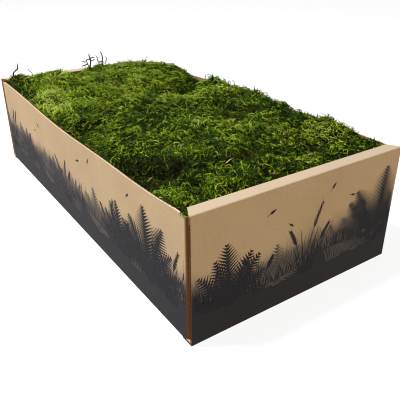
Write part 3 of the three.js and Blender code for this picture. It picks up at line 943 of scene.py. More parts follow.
# What grows on each wall: its kind, place along the wall, height, how many and ink
END_PLANTS = [
    (Print.fern, -38, 82, 5, 0.4),
    (Print.reeds, 48, 86, 7, 0.4),
    (Print.fern, 84, 96, 5, 0.5),
    (Print.fern, -100, 100, 7, 1),
    (Print.reeds, -62, 84, 5, 1),
    (Print.reeds, 4, 108, 7, 1),
    (Print.fern, 116, 122, 7, 1),
]
SIDE_PLANTS = [
    (Print.fern, -216, 90, 5, 0.5),
    (Print.reeds, -150, 92, 7, 0.4),
    (Print.fern, -84, 84, 5, 0.4),
    (Print.reeds, 24, 86, 7, 0.4),
    (Print.fern, 96, 88, 5, 0.4),
    (Print.reeds, 190, 92, 7, 0.5),
    (Print.reeds, -268, 122, 9, 1),
    (Print.fern, -182, 92, 7, 0.9),
    (Print.fern, -48, 88, 5, 0.8),
    (Print.reeds, -12, 104, 7, 0.9),
    (Print.reeds, 132, 96, 7, 0.9),
    (Print.fern, 158, 98, 7, 1),
    (Print.fern, 222, 120, 7, 1),
    (Print.reeds, 264, 108, 7, 1),
]
# The drifting leaves: place along the wall and up it, heading and size
END_LEAVES = [(-52, 118, 0.4, 9), (-24, 98, -0.6, 7), (34, 122, 0.9, 8), (66, 106, -0.2, 7)]
SIDE_LEAVES = [(52, 112, 0.3, 9), (88, 121, 1.0, 8), (-104, 116, -0.5, 9), (-128, 100, 0.2, 7)]
SIDE_LEAVES += [(186, 118, 0.7, 8)]
# Each wall: the place of a point along it, up it and off it, how far it reaches, and what is printed on it
SIDE_REACH = HALF_LENGTH - 9
PICTURES = (
    (lambda u, v, off: (u, -HALF_LENGTH - off, v), HALF_WIDTH, END_PLANTS, END_LEAVES),
    (lambda u, v, off: (-HALF_WIDTH - off, -u, v), SIDE_REACH, SIDE_PLANTS, SIDE_LEAVES),
    (lambda u, v, off: (-u, HALF_LENGTH + off, v), HALF_WIDTH, END_PLANTS, END_LEAVES),
    (lambda u, v, off: (HALF_WIDTH + off, u, v), SIDE_REACH, SIDE_PLANTS, SIDE_LEAVES),
)


def make_print(finish):
    """Ferns, grass, seed heads and drifting leaves in dark ink, round all four walls"""
    skin = Skin()
    for seed, (wall, reach, plants, leaves) in enumerate(PICTURES, 60):
        picture = Print(skin, wall, reach, seed)
        picture.fringe(3.4, 20, 40, 0.3)
        for grow_plant, *plant in plants:
            grow_plant(picture, *plant)
        picture.fringe(2.8, 8, 22, 1)
        for leaf in leaves:
            picture.drifting(*leaf)
    made = skin.finish("printed_meadow", "ink", smooth=False)
    spread(made)
    made.data.materials.append(finish)
    return made


# Moss surface

TUFT_WIDTH = 9
CLUMP_WIDTH = 26
MAT_GRAIN = 8
CLUMP_SLICE = 8.4


def rough(x, y, width, level):
    """Noise in plan with grains of a width, at a level of its own, from about -1 to 1"""
    return noise.noise(Vector((x / width, y / width, level)))


def distance_to_line(x, y, line):
    least = math.inf
    for (ax, ay), (bx, by) in zip(line, line[1:]):
        dx = bx - ax
        dy = by - ay
        t = ((x - ax) * dx + (y - ay) * dy) / (dx * dx + dy * dy)
        t = min(1, max(0, t))
        least = min(least, math.hypot(x - ax - t * dx, y - ay - t * dy))
    return least


def groove(x, y):
    """How deep the nearest creases and hollows cut in"""
    deepest = 0
    for line, depth, width in [*CREASES.values(), *HOLLOWS]:
        gap = distance_to_line(x, y, line) / width
        deepest = max(deepest, depth * math.exp(-gap * gap))
    return deepest


def raised(level, x, y, patches):
    """A level with soft round patches added: centre, spread and rise"""
    for cx, cy, wide, long, rise in patches:
        u = (x - cx) / wide
        v = (y - cy) / long
        level += rise * math.exp(-0.5 * (u * u + v * v))
    return level


def crown(x, y):
    """The level of the moss, midway between its tufts and the gaps among them"""
    level = raised(CROWN_LEVEL, x, y, SWELLS)
    for gap, drop, reach in (
        (x + INNER_X, 8, 15),
        (y + INNER_Y, 9.5, 17),
        (INNER_X - x, 4, 7),
        (INNER_Y - y, 7, 13),
    ):
        level -= drop * math.exp(-max(0, gap) / reach)
    ripple = 1.6 * math.sin(x / 19 + 1.3) * math.sin(y / 23) + 1.1 * math.sin((x + y) / 11)
    return level - groove(x, y) + ripple


def lumps(x, y):
    """Tufts on the surface, a few millimetres up or down"""
    return 4.5 * rough(x, y, TUFT_WIDTH, 3.1) + 5 * rough(x, y, CLUMP_WIDTH, CLUMP_SLICE)


def combing(x, y):
    """The way the shoots are combed, as an angle that drifts over the sheet"""
    drift = 1.2 + 1.5 * math.sin(x / 58 + 0.7) + 1.3 * math.sin(y / 74 - 0.4) + 0.7 * math.sin((x - y) / 41)
    return drift + 2.2 * rough(x, y, CLUMP_WIDTH, 5.7)


# Painted light (above 0) and painted shade (below 0) on the moss, which also turn it more yellow or deeper
# green: centre, spread and how much
SUN_PATCHES = [
    (-110, 114, 21, 42, 0.8), (-75, 140, 24, 34, -0.3), (-40, 190, 70, 50, 0.25), (50, 180, 50, 60, 0.2),
    (2, 124, 24, 24, 0.2), (100, 130, 24, 44, -0.2), (-126, 250, 18, 36, -0.35), (-10, -14, 50, 26, -0.2),
    (66, 22, 26, 26, 0.3), (-22, -118, 40, 26, 0.25), (104, 10, 14, 40, 0.25), (46, -56, 36, 26, -0.5),
    (96, -30, 20, 40, -0.15), (92, -212, 20, 14, 0.25), (-60, -185, 70, 34, -0.3),
    (-55, -240, 60, 26, -0.25), (120, -60, 16, 90, -0.3), (-112, -195, 30, 26, -0.5),
    (-134, 184, 12, 26, -0.4), (-122, -22, 18, 24, -0.35), (52, -243, 22, 13, 0.7),
    (30, -277, 20, 10, -0.3), (96, -262, 24, 20, -0.45), (107, -228, 12, 10, 0.5),
    (108, -174, 14, 16, -0.4), (104, -78, 10, 42, 0.45), (90, -104, 14, 16, -0.5),
    (103, -140, 10, 20, -0.4), (-25, -30, 34, 40, -0.35), (-60, -45, 24, 24, -0.2),
    (26, -130, 24, 20, -0.3), (-18, 193, 30, 20, -0.25), (14, 140, 24, 24, 0.2), (59, 14, 20, 20, 0.3),
    (83, 99, 20, 24, -0.25), (-77, -211, 24, 14, -0.3), (-49, -267, 26, 12, -0.35),
    (-105, -125, 36, 26, -0.35), (-120, -262, 18, 16, 0.15), (-120, -264, 26, 24, 0.2),
]


def chain(*lines):
    """One closed outline from lines that meet end to end"""
    points = []
    for line in lines:
        for point in line:
            if not points or math.dist(points[-1], point) > 0.01:
                points.append(point)
    if math.dist(points[0], points[-1]) < 0.01:
        points.pop()
    return points


def crease(name, back=False):
    line = CREASES[name][0]
    return line[::-1] if back else line


SHEETS = {
    "back_left_moss_sheet": chain(
        crease("left_to_middle"), crease("back_to_middle", True), [(-INNER_X, INNER_Y)]
    ),
    "back_right_moss_sheet": chain(
        crease("back_to_middle"), crease("middle_step"), crease("dome_to_ridge"), [(INNER_X, INNER_Y)]
    ),
    "right_ridge_moss_sheet": chain(crease("ridge_foot"), crease("ridge_end"), crease("dome_to_ridge", True)),
    "middle_moss_sheet": chain(
        crease("front_hollow"),
        crease("ridge_foot", True),
        crease("middle_step", True),
        crease("left_to_middle", True),
    ),
    "front_moss_sheet": chain(
        [(-INNER_X, -INNER_Y), (INNER_X, -INNER_Y)],
        crease("ridge_end", True),
        crease("front_hollow", True),
    ),
}


def drawn_in(points, distance):
    """The outline, anticlockwise, moved in by the same distance all round"""
    area = sum(ax * by - bx * ay for (ax, ay), (bx, by) in zip(points, points[1:] + points[:1]))
    ring = points if area > 0 else points[::-1]

    def normal(a, b):
        length = math.dist(a, b)
        return (-(b[1] - a[1]) / length, (b[0] - a[0]) / length)

    inner = []
    for i, point in enumerate(ring):
        ax, ay = normal(ring[i - 1], point)
        bx, by = normal(point, ring[(i + 1) % len(ring)])
        scale = distance / (1 + ax * bx + ay * by)
        inner.append((point[0] + (ax + bx) * scale, point[1] + (ay + by) * scale))
    return inner


def is_inside(x, y, ring):
    inside = False
    for (ax, ay), (bx, by) in zip(ring, ring[1:] + ring[:1]):
        if (ay > y) != (by > y) and x < (bx - ax) * (y - ay) / (by - ay) + ax:
            inside = not inside
    return inside


def divided(ring, pitch):
    """The outline with a point at least every pitch"""
    points = []
    for (ax, ay), (bx, by) in zip(ring, ring[1:] + ring[:1]):
        steps = max(1, round(math.dist((ax, ay), (bx, by)) / pitch))
        points += [(ax + (bx - ax) * i / steps, ay + (by - ay) * i / steps) for i in range(steps)]
    return points


def make_mat(name, ring, pitch, top, under):
    """A closed sheet over an outline, with its top and its underside given by functions"""
    edge = divided(ring, pitch)
    closed = edge + edge[:1]
    points = list(edge)
    row = 0
    y = min(b for _, b in ring)
    while y < max(b for _, b in ring):
        x = min(a for a, _ in ring) + (pitch / 2 if row % 2 else 0)
        while x < max(a for a, _ in ring):
            if is_inside(x, y, ring) and distance_to_line(x, y, closed) > 0.6 * pitch:
                points.append((x, y))
            x += pitch
        y += pitch * math.sqrt(0.75)
        row += 1
    plan = [Vector(point) for point in points]
    flat, _, triangles, *_ = delaunay_2d_cdt(plan, [], [list(range(len(edge)))], 1, 1e-4)
    count = len(flat)
    corners = [(p.x, p.y, level(p.x, p.y)) for level in (top, under) for p in flat]
    sides = dict.fromkeys(pair for a, b, c in triangles for pair in ((a, b), (b, c), (c, a)))
    faces = [tuple(t) for t in triangles]
    faces += [(c + count, b + count, a + count) for a, b, c in triangles]
    faces += [(b, a, a + count, b + count) for a, b in sides if (b, a) not in sides]
    return new_object(name, corners, faces), len(triangles)


# Shoots


class Skin:
    """Corners and faces of small closed shapes, as they are added"""

    def __init__(self):
        self.corners = []
        self.faces = []
        self.marks = []

    def put(self, point, mark):
        self.corners.append(tuple(point))
        self.marks.append(mark)
        return len(self.corners) - 1

    def join(self, rings):
        """Joins rings of as many corners each, and closes the first"""
        self.faces.append(tuple(rings[0][::-1]))
        for near, far in zip(rings, rings[1:]):
            for k in range(len(near)):
                n = (k + 1) % len(near)
                self.faces.append((near[k], near[n], far[n], far[k]))

    def strip(self, rings):
        """Joins rings of as many corners each, and closes both ends"""
        self.join(rings)
        self.faces.append(tuple(rings[-1]))

    def stem(self, path, radii, marks, sides=3):
        """A many-sided stem along a path, from a flat root to a point"""
        rings = []
        across = None
        for i, point in enumerate(path[:-1]):
            ahead = (path[i + 1] - path[max(i - 1, 0)]).normalized()
            if across is None:
                across = ahead.orthogonal().normalized()
            across = (across - ahead * across.dot(ahead)).normalized()
            over = ahead.cross(across)
            ring = []
            for k in range(sides):
                turn = 2 * math.pi * k / sides
                corner = point + (across * math.cos(turn) + over * math.sin(turn)) * radii[i]
                ring.append(self.put(corner, marks[i]))
            rings.append(ring)
        self.join(rings)
        tip = self.put(path[-1], marks[-1])
        last = rings[-1]
        self.faces += [(last[k], last[(k + 1) % sides], tip) for k in range(sides)]

    def spindle(self, start, end, bend, width, marks):
        """A six-faced leafy twig: pointed at both ends, and bent where it is widest"""
        ahead = (end - start).normalized()
        across = ahead.cross(Vector((0, 0, 1)))
        across = across.normalized() if across.length > 0.01 else Vector((1, 0, 0))
        over = across.cross(ahead)
        middle = start.lerp(end, 0.42) + bend
        a = self.put(start, marks[0])
        ring = []
        for side, lift in ((-1, -0.35), (1, -0.35), (0, 0.6)):
            corner = middle + (across * side + over * lift) * width / 2
            ring.append(self.put(corner, (marks[0] + marks[1]) / 2))
        tip = self.put(end, marks[1])
        for k in range(3):
            n = (k + 1) % 3
            self.faces.append((a, ring[n], ring[k]))
            self.faces.append((tip, ring[k], ring[n]))

    def finish(self, name, mark_name, smooth=True, **even_marks):
        """The object, with the marks of its corners under one name, and even marks under others"""
        made = new_object(name, self.corners, self.faces)
        mark_all(made, "POINT", {mark_name: self.marks})
        if smooth:
            made.data.shade_smooth()
        face_outwards(made)
        count = len(self.corners)
        mark_all(made, "POINT", {mark: [value] * count for mark, value in even_marks.items()})
        return made


def add_strand(skin, draw, length, leaves, reach, lift, droop, sway, wave, thick):
    """A long shoot that arches low over its neighbours, waves and hooks at its tip, with a few side leaves"""
    steps = 5
    point = Vector((0, 0, 0))
    path = [Vector((0, 0, -ROOT_DEPTH)), point]
    for i in range(steps):
        share = (i + 0.5) / steps
        angle = (lift + (droop - lift) * share) * DEGREE
        turn = (sway * share**1.4 + wave * math.sin(2 * math.pi * share)) * DEGREE
        step = Vector((math.cos(angle) * math.cos(turn), math.cos(angle) * math.sin(turn), math.sin(angle)))
        point = point + step * (length / steps)
        path.append(point)
    marks = [0, 0.1] + [0.15 + 0.85 * (i + 1) / steps for i in range(steps)]
    radii = [thick * 0.6, thick * 0.75] + [thick * (1 - 0.35 * (i / (steps - 1)) ** 2) for i in range(steps)]
    skin.stem(path, radii, marks)
    for leaf in range(leaves):
        share = 0.3 + 0.6 * (leaf + 0.5 * draw.random()) / leaves
        place = share * steps
        cell = min(int(place), steps - 1)
        below, above = path[1 + cell], path[2 + cell]
        start = below.lerp(above, place - cell)
        ahead = (above - below).normalized()
        side_way = ahead.cross(Vector((0, 0, 1))).normalized() * (1 if leaf % 2 else -1)
        size = reach * draw.uniform(0.75, 1.25)
        way = side_way + ahead * draw.uniform(0.7, 1.4) + Vector((0, 0, draw.uniform(0, 0.6)))
        end = start + way.normalized() * size
        bend = ahead * (-0.14 * size) + Vector((0, 0, 0.16 * size))
        mark = 0.25 + 0.5 * share
        skin.spindle(start, end, bend, thick * draw.uniform(1.3, 1.8), (mark - 0.1, min(1, mark + 0.35)))


def add_tuft(skin, draw, blades, length, lean, width):
    """Short blades that fan out from one root"""
    for blade in range(blades):
        turn = 2 * math.pi * (blade + draw.uniform(-0.3, 0.3)) / blades
        tilt = lean * draw.uniform(0.6, 1.3) * DEGREE
        way = Vector((math.sin(tilt) * math.cos(turn), math.sin(tilt) * math.sin(turn), math.cos(tilt)))
        size = length * draw.uniform(0.75, 1.2)
        start = Vector((0.6 * math.cos(turn), 0.6 * math.sin(turn), -ROOT_DEPTH))
        bend = Vector((way.x, way.y, 0.4)) * (0.12 * size)
        skin.spindle(start, start + way * (size + ROOT_DEPTH), bend, width, (0, 0.36))


# Strands: length, leaves and their size, angles of lift, droop, sway and wave, thickness
STRANDS = [
    (15, 1, 2.8, 34, -22, 120, 40, 0.6),
    (18, 1, 2.8, 26, -18, -90, -50, 0.54),
    (12, 2, 3.0, 42, -36, 170, 30, 0.64),
    (20, 1, 3.0, 22, -14, 70, 55, 0.52),
    (16, 1, 2.8, 30, -26, -150, 40, 0.58),
    (18, 1, 3.0, 24, -8, 110, -60, 0.56),
    (11, 2, 3.2, 48, -20, -130, -30, 0.66),
    (21, 1, 3.0, 20, -16, -60, 60, 0.52),
    (13, 1, 3.2, 54, 0, 100, 40, 0.6),
    (15, 1, 2.8, 32, -34, -190, 50, 0.58),
]
# Tufts: blades, their length, lean and width
TUFTS = [(5, 5.5, 56, 1.5), (5, 6, 48, 1.4), (4, 5, 64, 1.6), (5, 6.5, 44, 1.3)]


def shoot_group(name, seed, add, kinds):
    """The shoots of one kind of growth, kept out of the scene"""
    draw = random.Random(seed)
    group = bpy.data.collections.new(name)
    for number, kind in enumerate(kinds):
        skin = Skin()
        add(skin, draw, *kind)
        made = skin.finish(f"{name}_{number}", "along")
        bpy.context.scene.collection.objects.unlink(made)
        group.objects.link(made)
    return group


# The tall sprigs: where each stands, and the line of its twigs as offsets sideways and up
SPRIGS = [
    ((10, 270), [
        [(-1, -4), (0.8, 4), (1.8, 8), (1.9, 12), (1.3, 15), (0.2, 19), (-0.5, 22), (0, 26)],
        [(-2, 1), (-3.5, 5), (-4.7, 8.5), (-5.1, 10)],
        [(-4, 7), (-8, 5), (-13, 4), (-17, 2)],
        [(1.2, 13.5), (-2.6, 15), (-5, 14), (-7, 11), (-9.5, 10), (-12.5, 12.4), (-16.5, 11.4)],
        [(1.6, 15), (4.4, 16.8), (8, 17.2), (11, 15.4)],
        [(1.8, 11.5), (6, 11.6), (9, 12.6), (11.5, 13.3)],
    ]),
    ((35, 270), [
        [(0.4, -4), (-0.8, 1), (0, 5), (0.8, 8.5), (0.2, 13), (-1, 16.5), (-2.3, 19.4), (-3.6, 21.6)],
        [(-0.8, 2), (-4.4, 1.6), (-8.7, 4), (-11, 5.7)],
        [(-8, 3.5), (-8.6, 6.6), (-8.7, 9), (-10.4, 12), (-12, 14.5)],
        [(0.4, 2.5), (3, -0.5), (4.8, -2)],
        [(6.4, -3), (7.6, 1), (9, 5), (8.8, 8), (6.9, 9.8)],
    ]),
    ((-128, 270), [
        [(-1.4, -3), (0, 6), (3.5, 9), (7.2, 11.5), (8, 16), (9.4, 22.6)],
        [(7.2, 11.5), (10.4, 11)],
    ]),
    ((-97, 270), [[(0, -3), (-0.2, 2.5), (-3.5, 6), (-6, 8.6), (-8, 10)]]),
    ((-49, 268), [[(-1, -3), (-2.4, 4), (-4, 8.4)], [(1.4, -2), (3.2, 3), (4, 5)]]),
    ((86, 203), [
        [(-1, -3), (-1.6, 5), (-2.4, 11)],
        [(0, 0), (3.6, 6), (8, 11), (9.6, 13)],
        [(2, 3), (6, 5), (8, 4)],
    ]),
    ((112, 172), [[(0, -2), (-0.6, 4), (-2, 8)]]),
    ((118, 54), [[(0, -2), (0.4, 4), (-0.6, 9)]]),
    ((119, 35), [[(0, -2), (0.6, 6), (-0.4, 12)], [(0.2, 2), (3, 6)]]),
    ((121, -7), [[(0, -2), (-0.6, 6), (0.6, 12)]]),
    ((123, -70), [[(0, -2), (0.8, 5), (0, 9)]]),
    ((121, -126), [[(0, -2), (-0.4, 4), (-1.6, 8)]]),
    ((119, -192), [[(0, -2), (-0.6, 4), (-0.2, 9)]]),
]


def standing_at(skin, first, base, heading):
    """Turns the corners from the first on by a heading, and moves them to a base"""
    turn = heading * DEGREE
    for i in range(first, len(skin.corners)):
        a, b, c = skin.corners[i]
        east = a * math.cos(turn) - b * math.sin(turn)
        north = a * math.sin(turn) + b * math.cos(turn)
        skin.corners[i] = (base[0] + east, base[1] + north, base[2] + c)


def make_sprigs(name, ring):
    """Dark twiggy sprigs that stand up from one sheet, with a few leaves on every twig"""
    draw = random.Random(31)
    skin = Skin()
    for (x, y), twigs in SPRIGS:
        if not is_inside(x, y, ring):
            continue
        level = crown(x, y) + BITS_RISE
        stoutness = 0.2 + 0.05 * max(rise for _, rise in twigs[0])
        for number, twig in enumerate(twigs):
            count = len(twig)
            wander = draw.uniform(-2, 2)
            bend = [wander * i / count for i in range(count)]
            path = [Vector((x + aside, y + north, level + rise)) for (aside, rise), north in zip(twig, bend)]
            girth = stoutness * (1 if number == 0 else 0.75)
            radii = [girth * (1 - 0.3 * i / count) for i in range(count)]
            skin.stem(path, radii, [0.2 + 0.5 * i / count for i in range(count)], 4)
            for a, b in zip(path, path[1:]):
                way = Vector((draw.uniform(-1, 1), draw.uniform(-1, 1), 0.8)).normalized()
                start = a.lerp(b, draw.random())
                skin.spindle(start, start + way * draw.uniform(1.5, 3), Vector((0, 0, 0.2)), 1.1, (0.3, 0.7))
    return skin.finish(name, "along", tone=0.25, sun=-0.3, clump=0.4)


CORNER_PLACE = (-137.5, -280, 141.5)
CORNER_HEADING = 252


def make_corner_tuft(finish):
    """Shoots of the front sheet that hang out over the gap at the near corner"""
    draw = random.Random(12)
    skin = Skin()
    east, north, level = CORNER_PLACE
    for _ in range(16):
        first = len(skin.corners)
        base = (east + draw.uniform(-3.5, 2), north + draw.uniform(-3, 4), level)
        reach = draw.uniform(10, 16)
        lift = draw.uniform(25, 46)
        add_strand(skin, draw, reach, 2, 3, lift, draw.uniform(-80, -50), draw.uniform(-30, 30), 20, 0.55)
        standing_at(skin, first, base, CORNER_HEADING + draw.uniform(-16, 16))
    made = skin.finish("near_corner_tuft", "along", tone=0.42, sun=-0.2, clump=0.4)
    made.data.materials.append(finish)
    return made


# Litter


def add_straw(skin, draw, base, heading, length, radius, tone):
    """A thin stalk that lies on the moss, slightly bent"""
    first = len(skin.corners)
    sway = draw.uniform(-0.08, 0.08) * length
    rise = draw.uniform(-0.04, 0.1) * length
    path = [Vector((0, 0, 0)), Vector((length * 0.5, sway, rise + 0.6)), Vector((length, 0, rise))]
    skin.stem(path, [radius, radius], [tone, tone, tone])
    standing_at(skin, first, base, heading)


def add_flake(skin, draw, base, heading, length, tone):
    """A dry leaf scrap, curled along its length"""
    first = len(skin.corners)
    width = length * draw.uniform(0.35, 0.55)
    curl = draw.uniform(0.15, 0.4) * length
    rings = []
    for i in range(5):
        share = i / 4
        half = width / 2 * math.sin(math.pi * (0.12 + 0.8 * share))
        level = curl * (2 * share - 1) ** 2
        cup = half * 0.35
        outline = [(-half, level + cup), (0, level), (half, level + cup)]
        outline += [(half, level + cup + 0.5), (0, level + 0.5), (-half, level + cup + 0.5)]
        rings.append([skin.put((length * share, b, c), tone) for b, c in outline])
    skin.strip(rings)
    standing_at(skin, first, base, heading)


# Bits seen on the moss: kind, x, y, heading, length and tone
LITTER_SEEN = [
    ("straw", -50, -229, 20, 18, 0.9),
    ("flake", 64, -249, 120, 13, 0.15),
    ("flake", -130, 114, 60, 10, 0.1),
    ("flake", -28, -276, 40, 9, 0.2),
    ("straw", 20, 40, 150, 16, 0.7),
]
LITTER_STREWN = 44
LITTER_CLEAR = 14


def make_litter(finish):
    """Dry straws, needles and leaf scraps that lie on the moss"""
    draw = random.Random(77)
    skin = Skin()
    for kind, x, y, heading, length, tone in LITTER_SEEN:
        base = (x, y, crown(x, y) + BITS_RISE)
        if kind == "straw":
            add_straw(skin, draw, base, heading, length, 0.55, tone)
        else:
            add_flake(skin, draw, base, heading, length, tone)
    east, north = INNER_X - LITTER_CLEAR, INNER_Y - LITTER_CLEAR
    for number in range(LITTER_STREWN):
        x, y = draw.uniform(-east, east), draw.uniform(-north, north)
        heading = draw.uniform(0, 360)
        base = (x, y, crown(x, y) + draw.uniform(-1.5, 0.5))
        if number % 5 == 0:
            add_flake(skin, draw, base, heading, draw.uniform(5, 9), draw.uniform(0, 0.35))
        else:
            length, radius, tone = (draw.uniform(*span) for span in ((9, 18), (0.25, 0.4), (0.2, 0.9)))
            add_straw(skin, draw, base, heading, length, radius, tone)
    made = skin.finish("dry_litter", "tone")
    made.data.materials.append(finish)
    return made


# Growth

CLUMPS_PER_METRE = 150


def growth_tree():
    """Geometry Nodes that stand shoots on the top of a mat and turn them all into one mesh"""
    tree = bpy.data.node_groups.new("moss_growth", "GeometryNodeTree")
    sockets = {
        "Mat": "Geometry",
        "Shoots": "Collection",
        "Sprigs": "Object",
        "Keep Mat": "Bool",
        "Spacing": "Float",
        "Most Per Area": "Float",
        "Seed": "Int",
        "Least Size": "Float",
        "Most Size": "Float",
        "Upright": "Float",
        "Wander": "Vector",
        "Shoot Finish": "Material",
        "Mat Finish": "Material",
    }
    for name, kind in sockets.items():
        tree.interface.new_socket(name, in_out="INPUT", socket_type="NodeSocket" + kind)
    tree.interface.new_socket("Sheet", in_out="OUTPUT", socket_type="NodeSocketGeometry")
    net = Net(tree)
    group_input = tree.nodes.new("NodeGroupInput")
    given = {name: Value(net, group_input.outputs[name]) for name in sockets}

    def attribute(name, kind):
        return net.add("GeometryNodeInputNamedAttribute", {"data_type": kind}, {"Name": name}, "Attribute")

    def random_value(kind, low, high, seed_step):
        suffix = {"FLOAT_VECTOR": "", "FLOAT": "_001", "INT": "_002"}[kind]
        inputs = {"Min" + suffix: low, "Max" + suffix: high, "Seed": given["Seed"] + seed_step}
        return net.add("FunctionNodeRandomValue", {"data_type": kind}, inputs, "Value" + suffix)

    def vector(operation, inputs):
        return net.add("ShaderNodeVectorMath", {"operation": operation}, inputs)

    def stored(geometry, name, value):
        inputs = {"Geometry": geometry, "Name": name, "Value": value}
        settings = {"data_type": "FLOAT", "domain": "INSTANCE"}
        return net.add("GeometryNodeStoreNamedAttribute", settings, inputs)

    def finished(geometry, finish):
        return net.add("GeometryNodeSetMaterial", inputs={"Geometry": geometry, "Material": given[finish]})

    def joined(*parts):
        whole = tree.nodes.new("GeometryNodeJoinGeometry")
        for part in parts:
            tree.links.new(part.socket, whole.inputs[0])
        return Value(net, whole.outputs[0])

    # Where shoots stand
    spots_inputs = {
        "Mesh": given["Mat"],
        "Selection": attribute("upper", "BOOLEAN"),
        "Distance Min": given["Spacing"],
        "Density Max": given["Most Per Area"],
        "Density Factor": attribute("grow", "FLOAT"),
        "Seed": given["Seed"],
    }
    settings = {"distribute_method": "POISSON"}
    spots = net.add("GeometryNodeDistributePointsOnFaces", settings, spots_inputs, "Points")

    # How they stand: between the slope and upright, combed, and then turned at random
    slope = Value(net, spots.socket.node.outputs["Normal"])
    up = vector("ADD", {0: slope, 1: vector("SCALE", {0: (0, 0, 1), "Scale": given["Upright"]})})
    stand = net.add("FunctionNodeAlignRotationToVector", {"axis": "Z"}, {"Vector": up})
    comb = {"Rotation": stand, "Vector": attribute("lay", "FLOAT_VECTOR")}
    facing = net.add("FunctionNodeAlignRotationToVector", {"axis": "X", "pivot_axis": "Z"}, comb)
    back = vector("SCALE", {0: given["Wander"], "Scale": -1.0})
    turn = {"Rotation": facing, "Rotate By": random_value("FLOAT_VECTOR", back, given["Wander"], 1)}
    rotation = net.add("FunctionNodeRotateRotation", {"rotation_space": "LOCAL"}, turn)

    # How large they are, and which they are
    clump = net.grain(net.add("GeometryNodeInputPosition"), CLUMPS_PER_METRE, 1).from_to(0.34, 0.66)
    size = random_value("FLOAT", given["Least Size"], given["Most Size"], 2) * attribute("tall", "FLOAT")
    picked = {"Collection": given["Shoots"], "Separate Children": True, "Reset Children": True}
    placing = {
        "Points": spots,
        "Instance": net.add("GeometryNodeCollectionInfo", inputs=picked),
        "Pick Instance": True,
        "Instance Index": random_value("INT", 0, 99, 3),
        "Rotation": rotation,
        "Scale": size * (clump * 0.36 + 0.82),
    }
    shoots = net.add("GeometryNodeInstanceOnPoints", inputs=placing)
    shoots = stored(shoots, "tone", random_value("FLOAT", 0.0, 1.0, 4))
    shoots = stored(shoots, "clump", clump)

    sprigs = net.add("GeometryNodeObjectInfo", inputs={"Object": given["Sprigs"]}, output="Geometry")
    green = finished(joined(shoots, sprigs), "Shoot Finish")
    kept = {"Switch": given["Keep Mat"], "True": given["Mat"]}
    kept = net.add("GeometryNodeSwitch", {"input_type": "GEOMETRY"}, kept, "Output")
    whole = joined(finished(kept, "Mat Finish"), green)
    real = net.add("GeometryNodeRealizeInstances", inputs={"Geometry": whole})
    end = tree.nodes.new("NodeGroupOutput")
    tree.links.new(real.socket, end.inputs[0])
    return tree


def grow(piece, tree, inputs):
    """Runs the growth tree on a mat, with its inputs set by their identifiers"""
    modifier = piece.modifiers.new("growth", "NODES")
    modifier.node_group = tree
    for name, value in inputs.items():
        modifier[tree.interface.items_tree[name].identifier] = value
    return settled(piece)


def mark_mat(piece, top_faces):
    """What the growth tree reads from a mat: where shoots grow, which way, how tall and how sunlit"""
    mesh = piece.data
    grows, tall, sun, lay = [], [], [], []
    for vertex in mesh.vertices:
        x, y = vertex.co.x / MM, vertex.co.y / MM
        wall = min(x + INNER_X, INNER_X - x, y + INNER_Y, INNER_Y - y)
        sunk = min(1, groove(x, y) / 15)
        near_wall = math.exp(-max(0, wall) / 6)
        angle = combing(x, y)
        towards_side = abs(x) / INNER_X > abs(y) / INNER_Y
        inward = Vector((-x / INNER_X, 0, 0)) if towards_side else Vector((0, -y / INNER_Y, 0))
        way = Vector((math.cos(angle), math.sin(angle), 0)) + inward * near_wall * 1.2
        lay.extend(way.normalized())
        grows.append(1 - 0.25 * near_wall)
        on_ridge = math.exp(-(((x - 126) / 12) ** 2) - ((y + 60) / 120) ** 4)
        tall.append(1 - 0.18 * near_wall - 0.12 * sunk + 0.35 * on_ridge)
        # Painted light and shade: the listed sun patches, less in creases and hollows, and less near the
        # walls
        glow = raised(0, x, y, SUN_PATCHES)
        clump = rough(x, y, CLUMP_WIDTH, CLUMP_SLICE)
        sun.append(glow + 0.4 * clump - 0.6 * sunk - 0.25 * near_wall)
    mark_all(piece, "POINT", {"grow": grows, "tall": tall, "sun": sun})
    mesh.attributes.new("lay", "FLOAT_VECTOR", "POINT").data.foreach_set("vector", lay)
    upper = [i < top_faces for i in range(len(mesh.polygons))]
    mesh.attributes.new("upper", "BOOLEAN", "FACE").data.foreach_set("value", upper)


def lap(z, top, most):
    """How far the fringe above the top of a wall laps over it"""
    return numpy.clip((z - top - LAP_START) * LAP_SLOPE, 0, most)


def press_to_walls(piece):
    """Shoots bend where they meet the board, and only the fringe above it laps over"""
    places = corner_places(piece) / MM
    x, y, z = places[:, 0], places[:, 1], places[:, 2]
    side = INNER_X + SHOOT_PLAY + bow(x, y, z) + lap(z, SIDE_HEIGHT, SIDE_LAP)
    end = INNER_Y + SHOOT_PLAY + lap(z, END_HEIGHT, numpy.where(y > 0, BACK_LAP, FRONT_LAP))
    places[:, 0] = numpy.clip(x, -side, side)
    places[:, 1] = numpy.clip(y, -end, end)
    set_corner_places(piece, places * MM)


# Build

board_finish = make_board_finish()
ink_finish = make_ink_finish()
shoot_finish = make_shoot_finish()
mat_finish = make_mat_finish()
litter_finish = make_litter_finish()
floor_finish = make_floor_finish()

tray = make_tray(board_finish)
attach(tray, "root")
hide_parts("tray")

meadow = make_print(ink_finish)
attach(meadow, "root")

MAT_PITCH = 5.5
MAT_SINK = 4.2
TUFT_SPACING = 3.3
STRAND_SPACING = 2.25
FINER = {"front_moss_sheet": 0.93}
LEAST_SIZE = 0.6
GROWTH = {
    "Most Per Area": 160000.0,
    "Least Size": LEAST_SIZE,
    "Most Size": 1.0,
    "Upright": 0.4,
    "Wander": (22 * DEGREE, 22 * DEGREE, 55 * DEGREE),
    "Shoot Finish": shoot_finish,
    "Mat Finish": mat_finish,
}


def finish_growth(piece, node):
    press_to_walls(piece)
    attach(piece, "root")
    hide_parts(node)


corner_tuft = make_corner_tuft(shoot_finish)
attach(corner_tuft, "root")

litter = make_litter(litter_finish)
spread(litter)
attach(litter, "root")

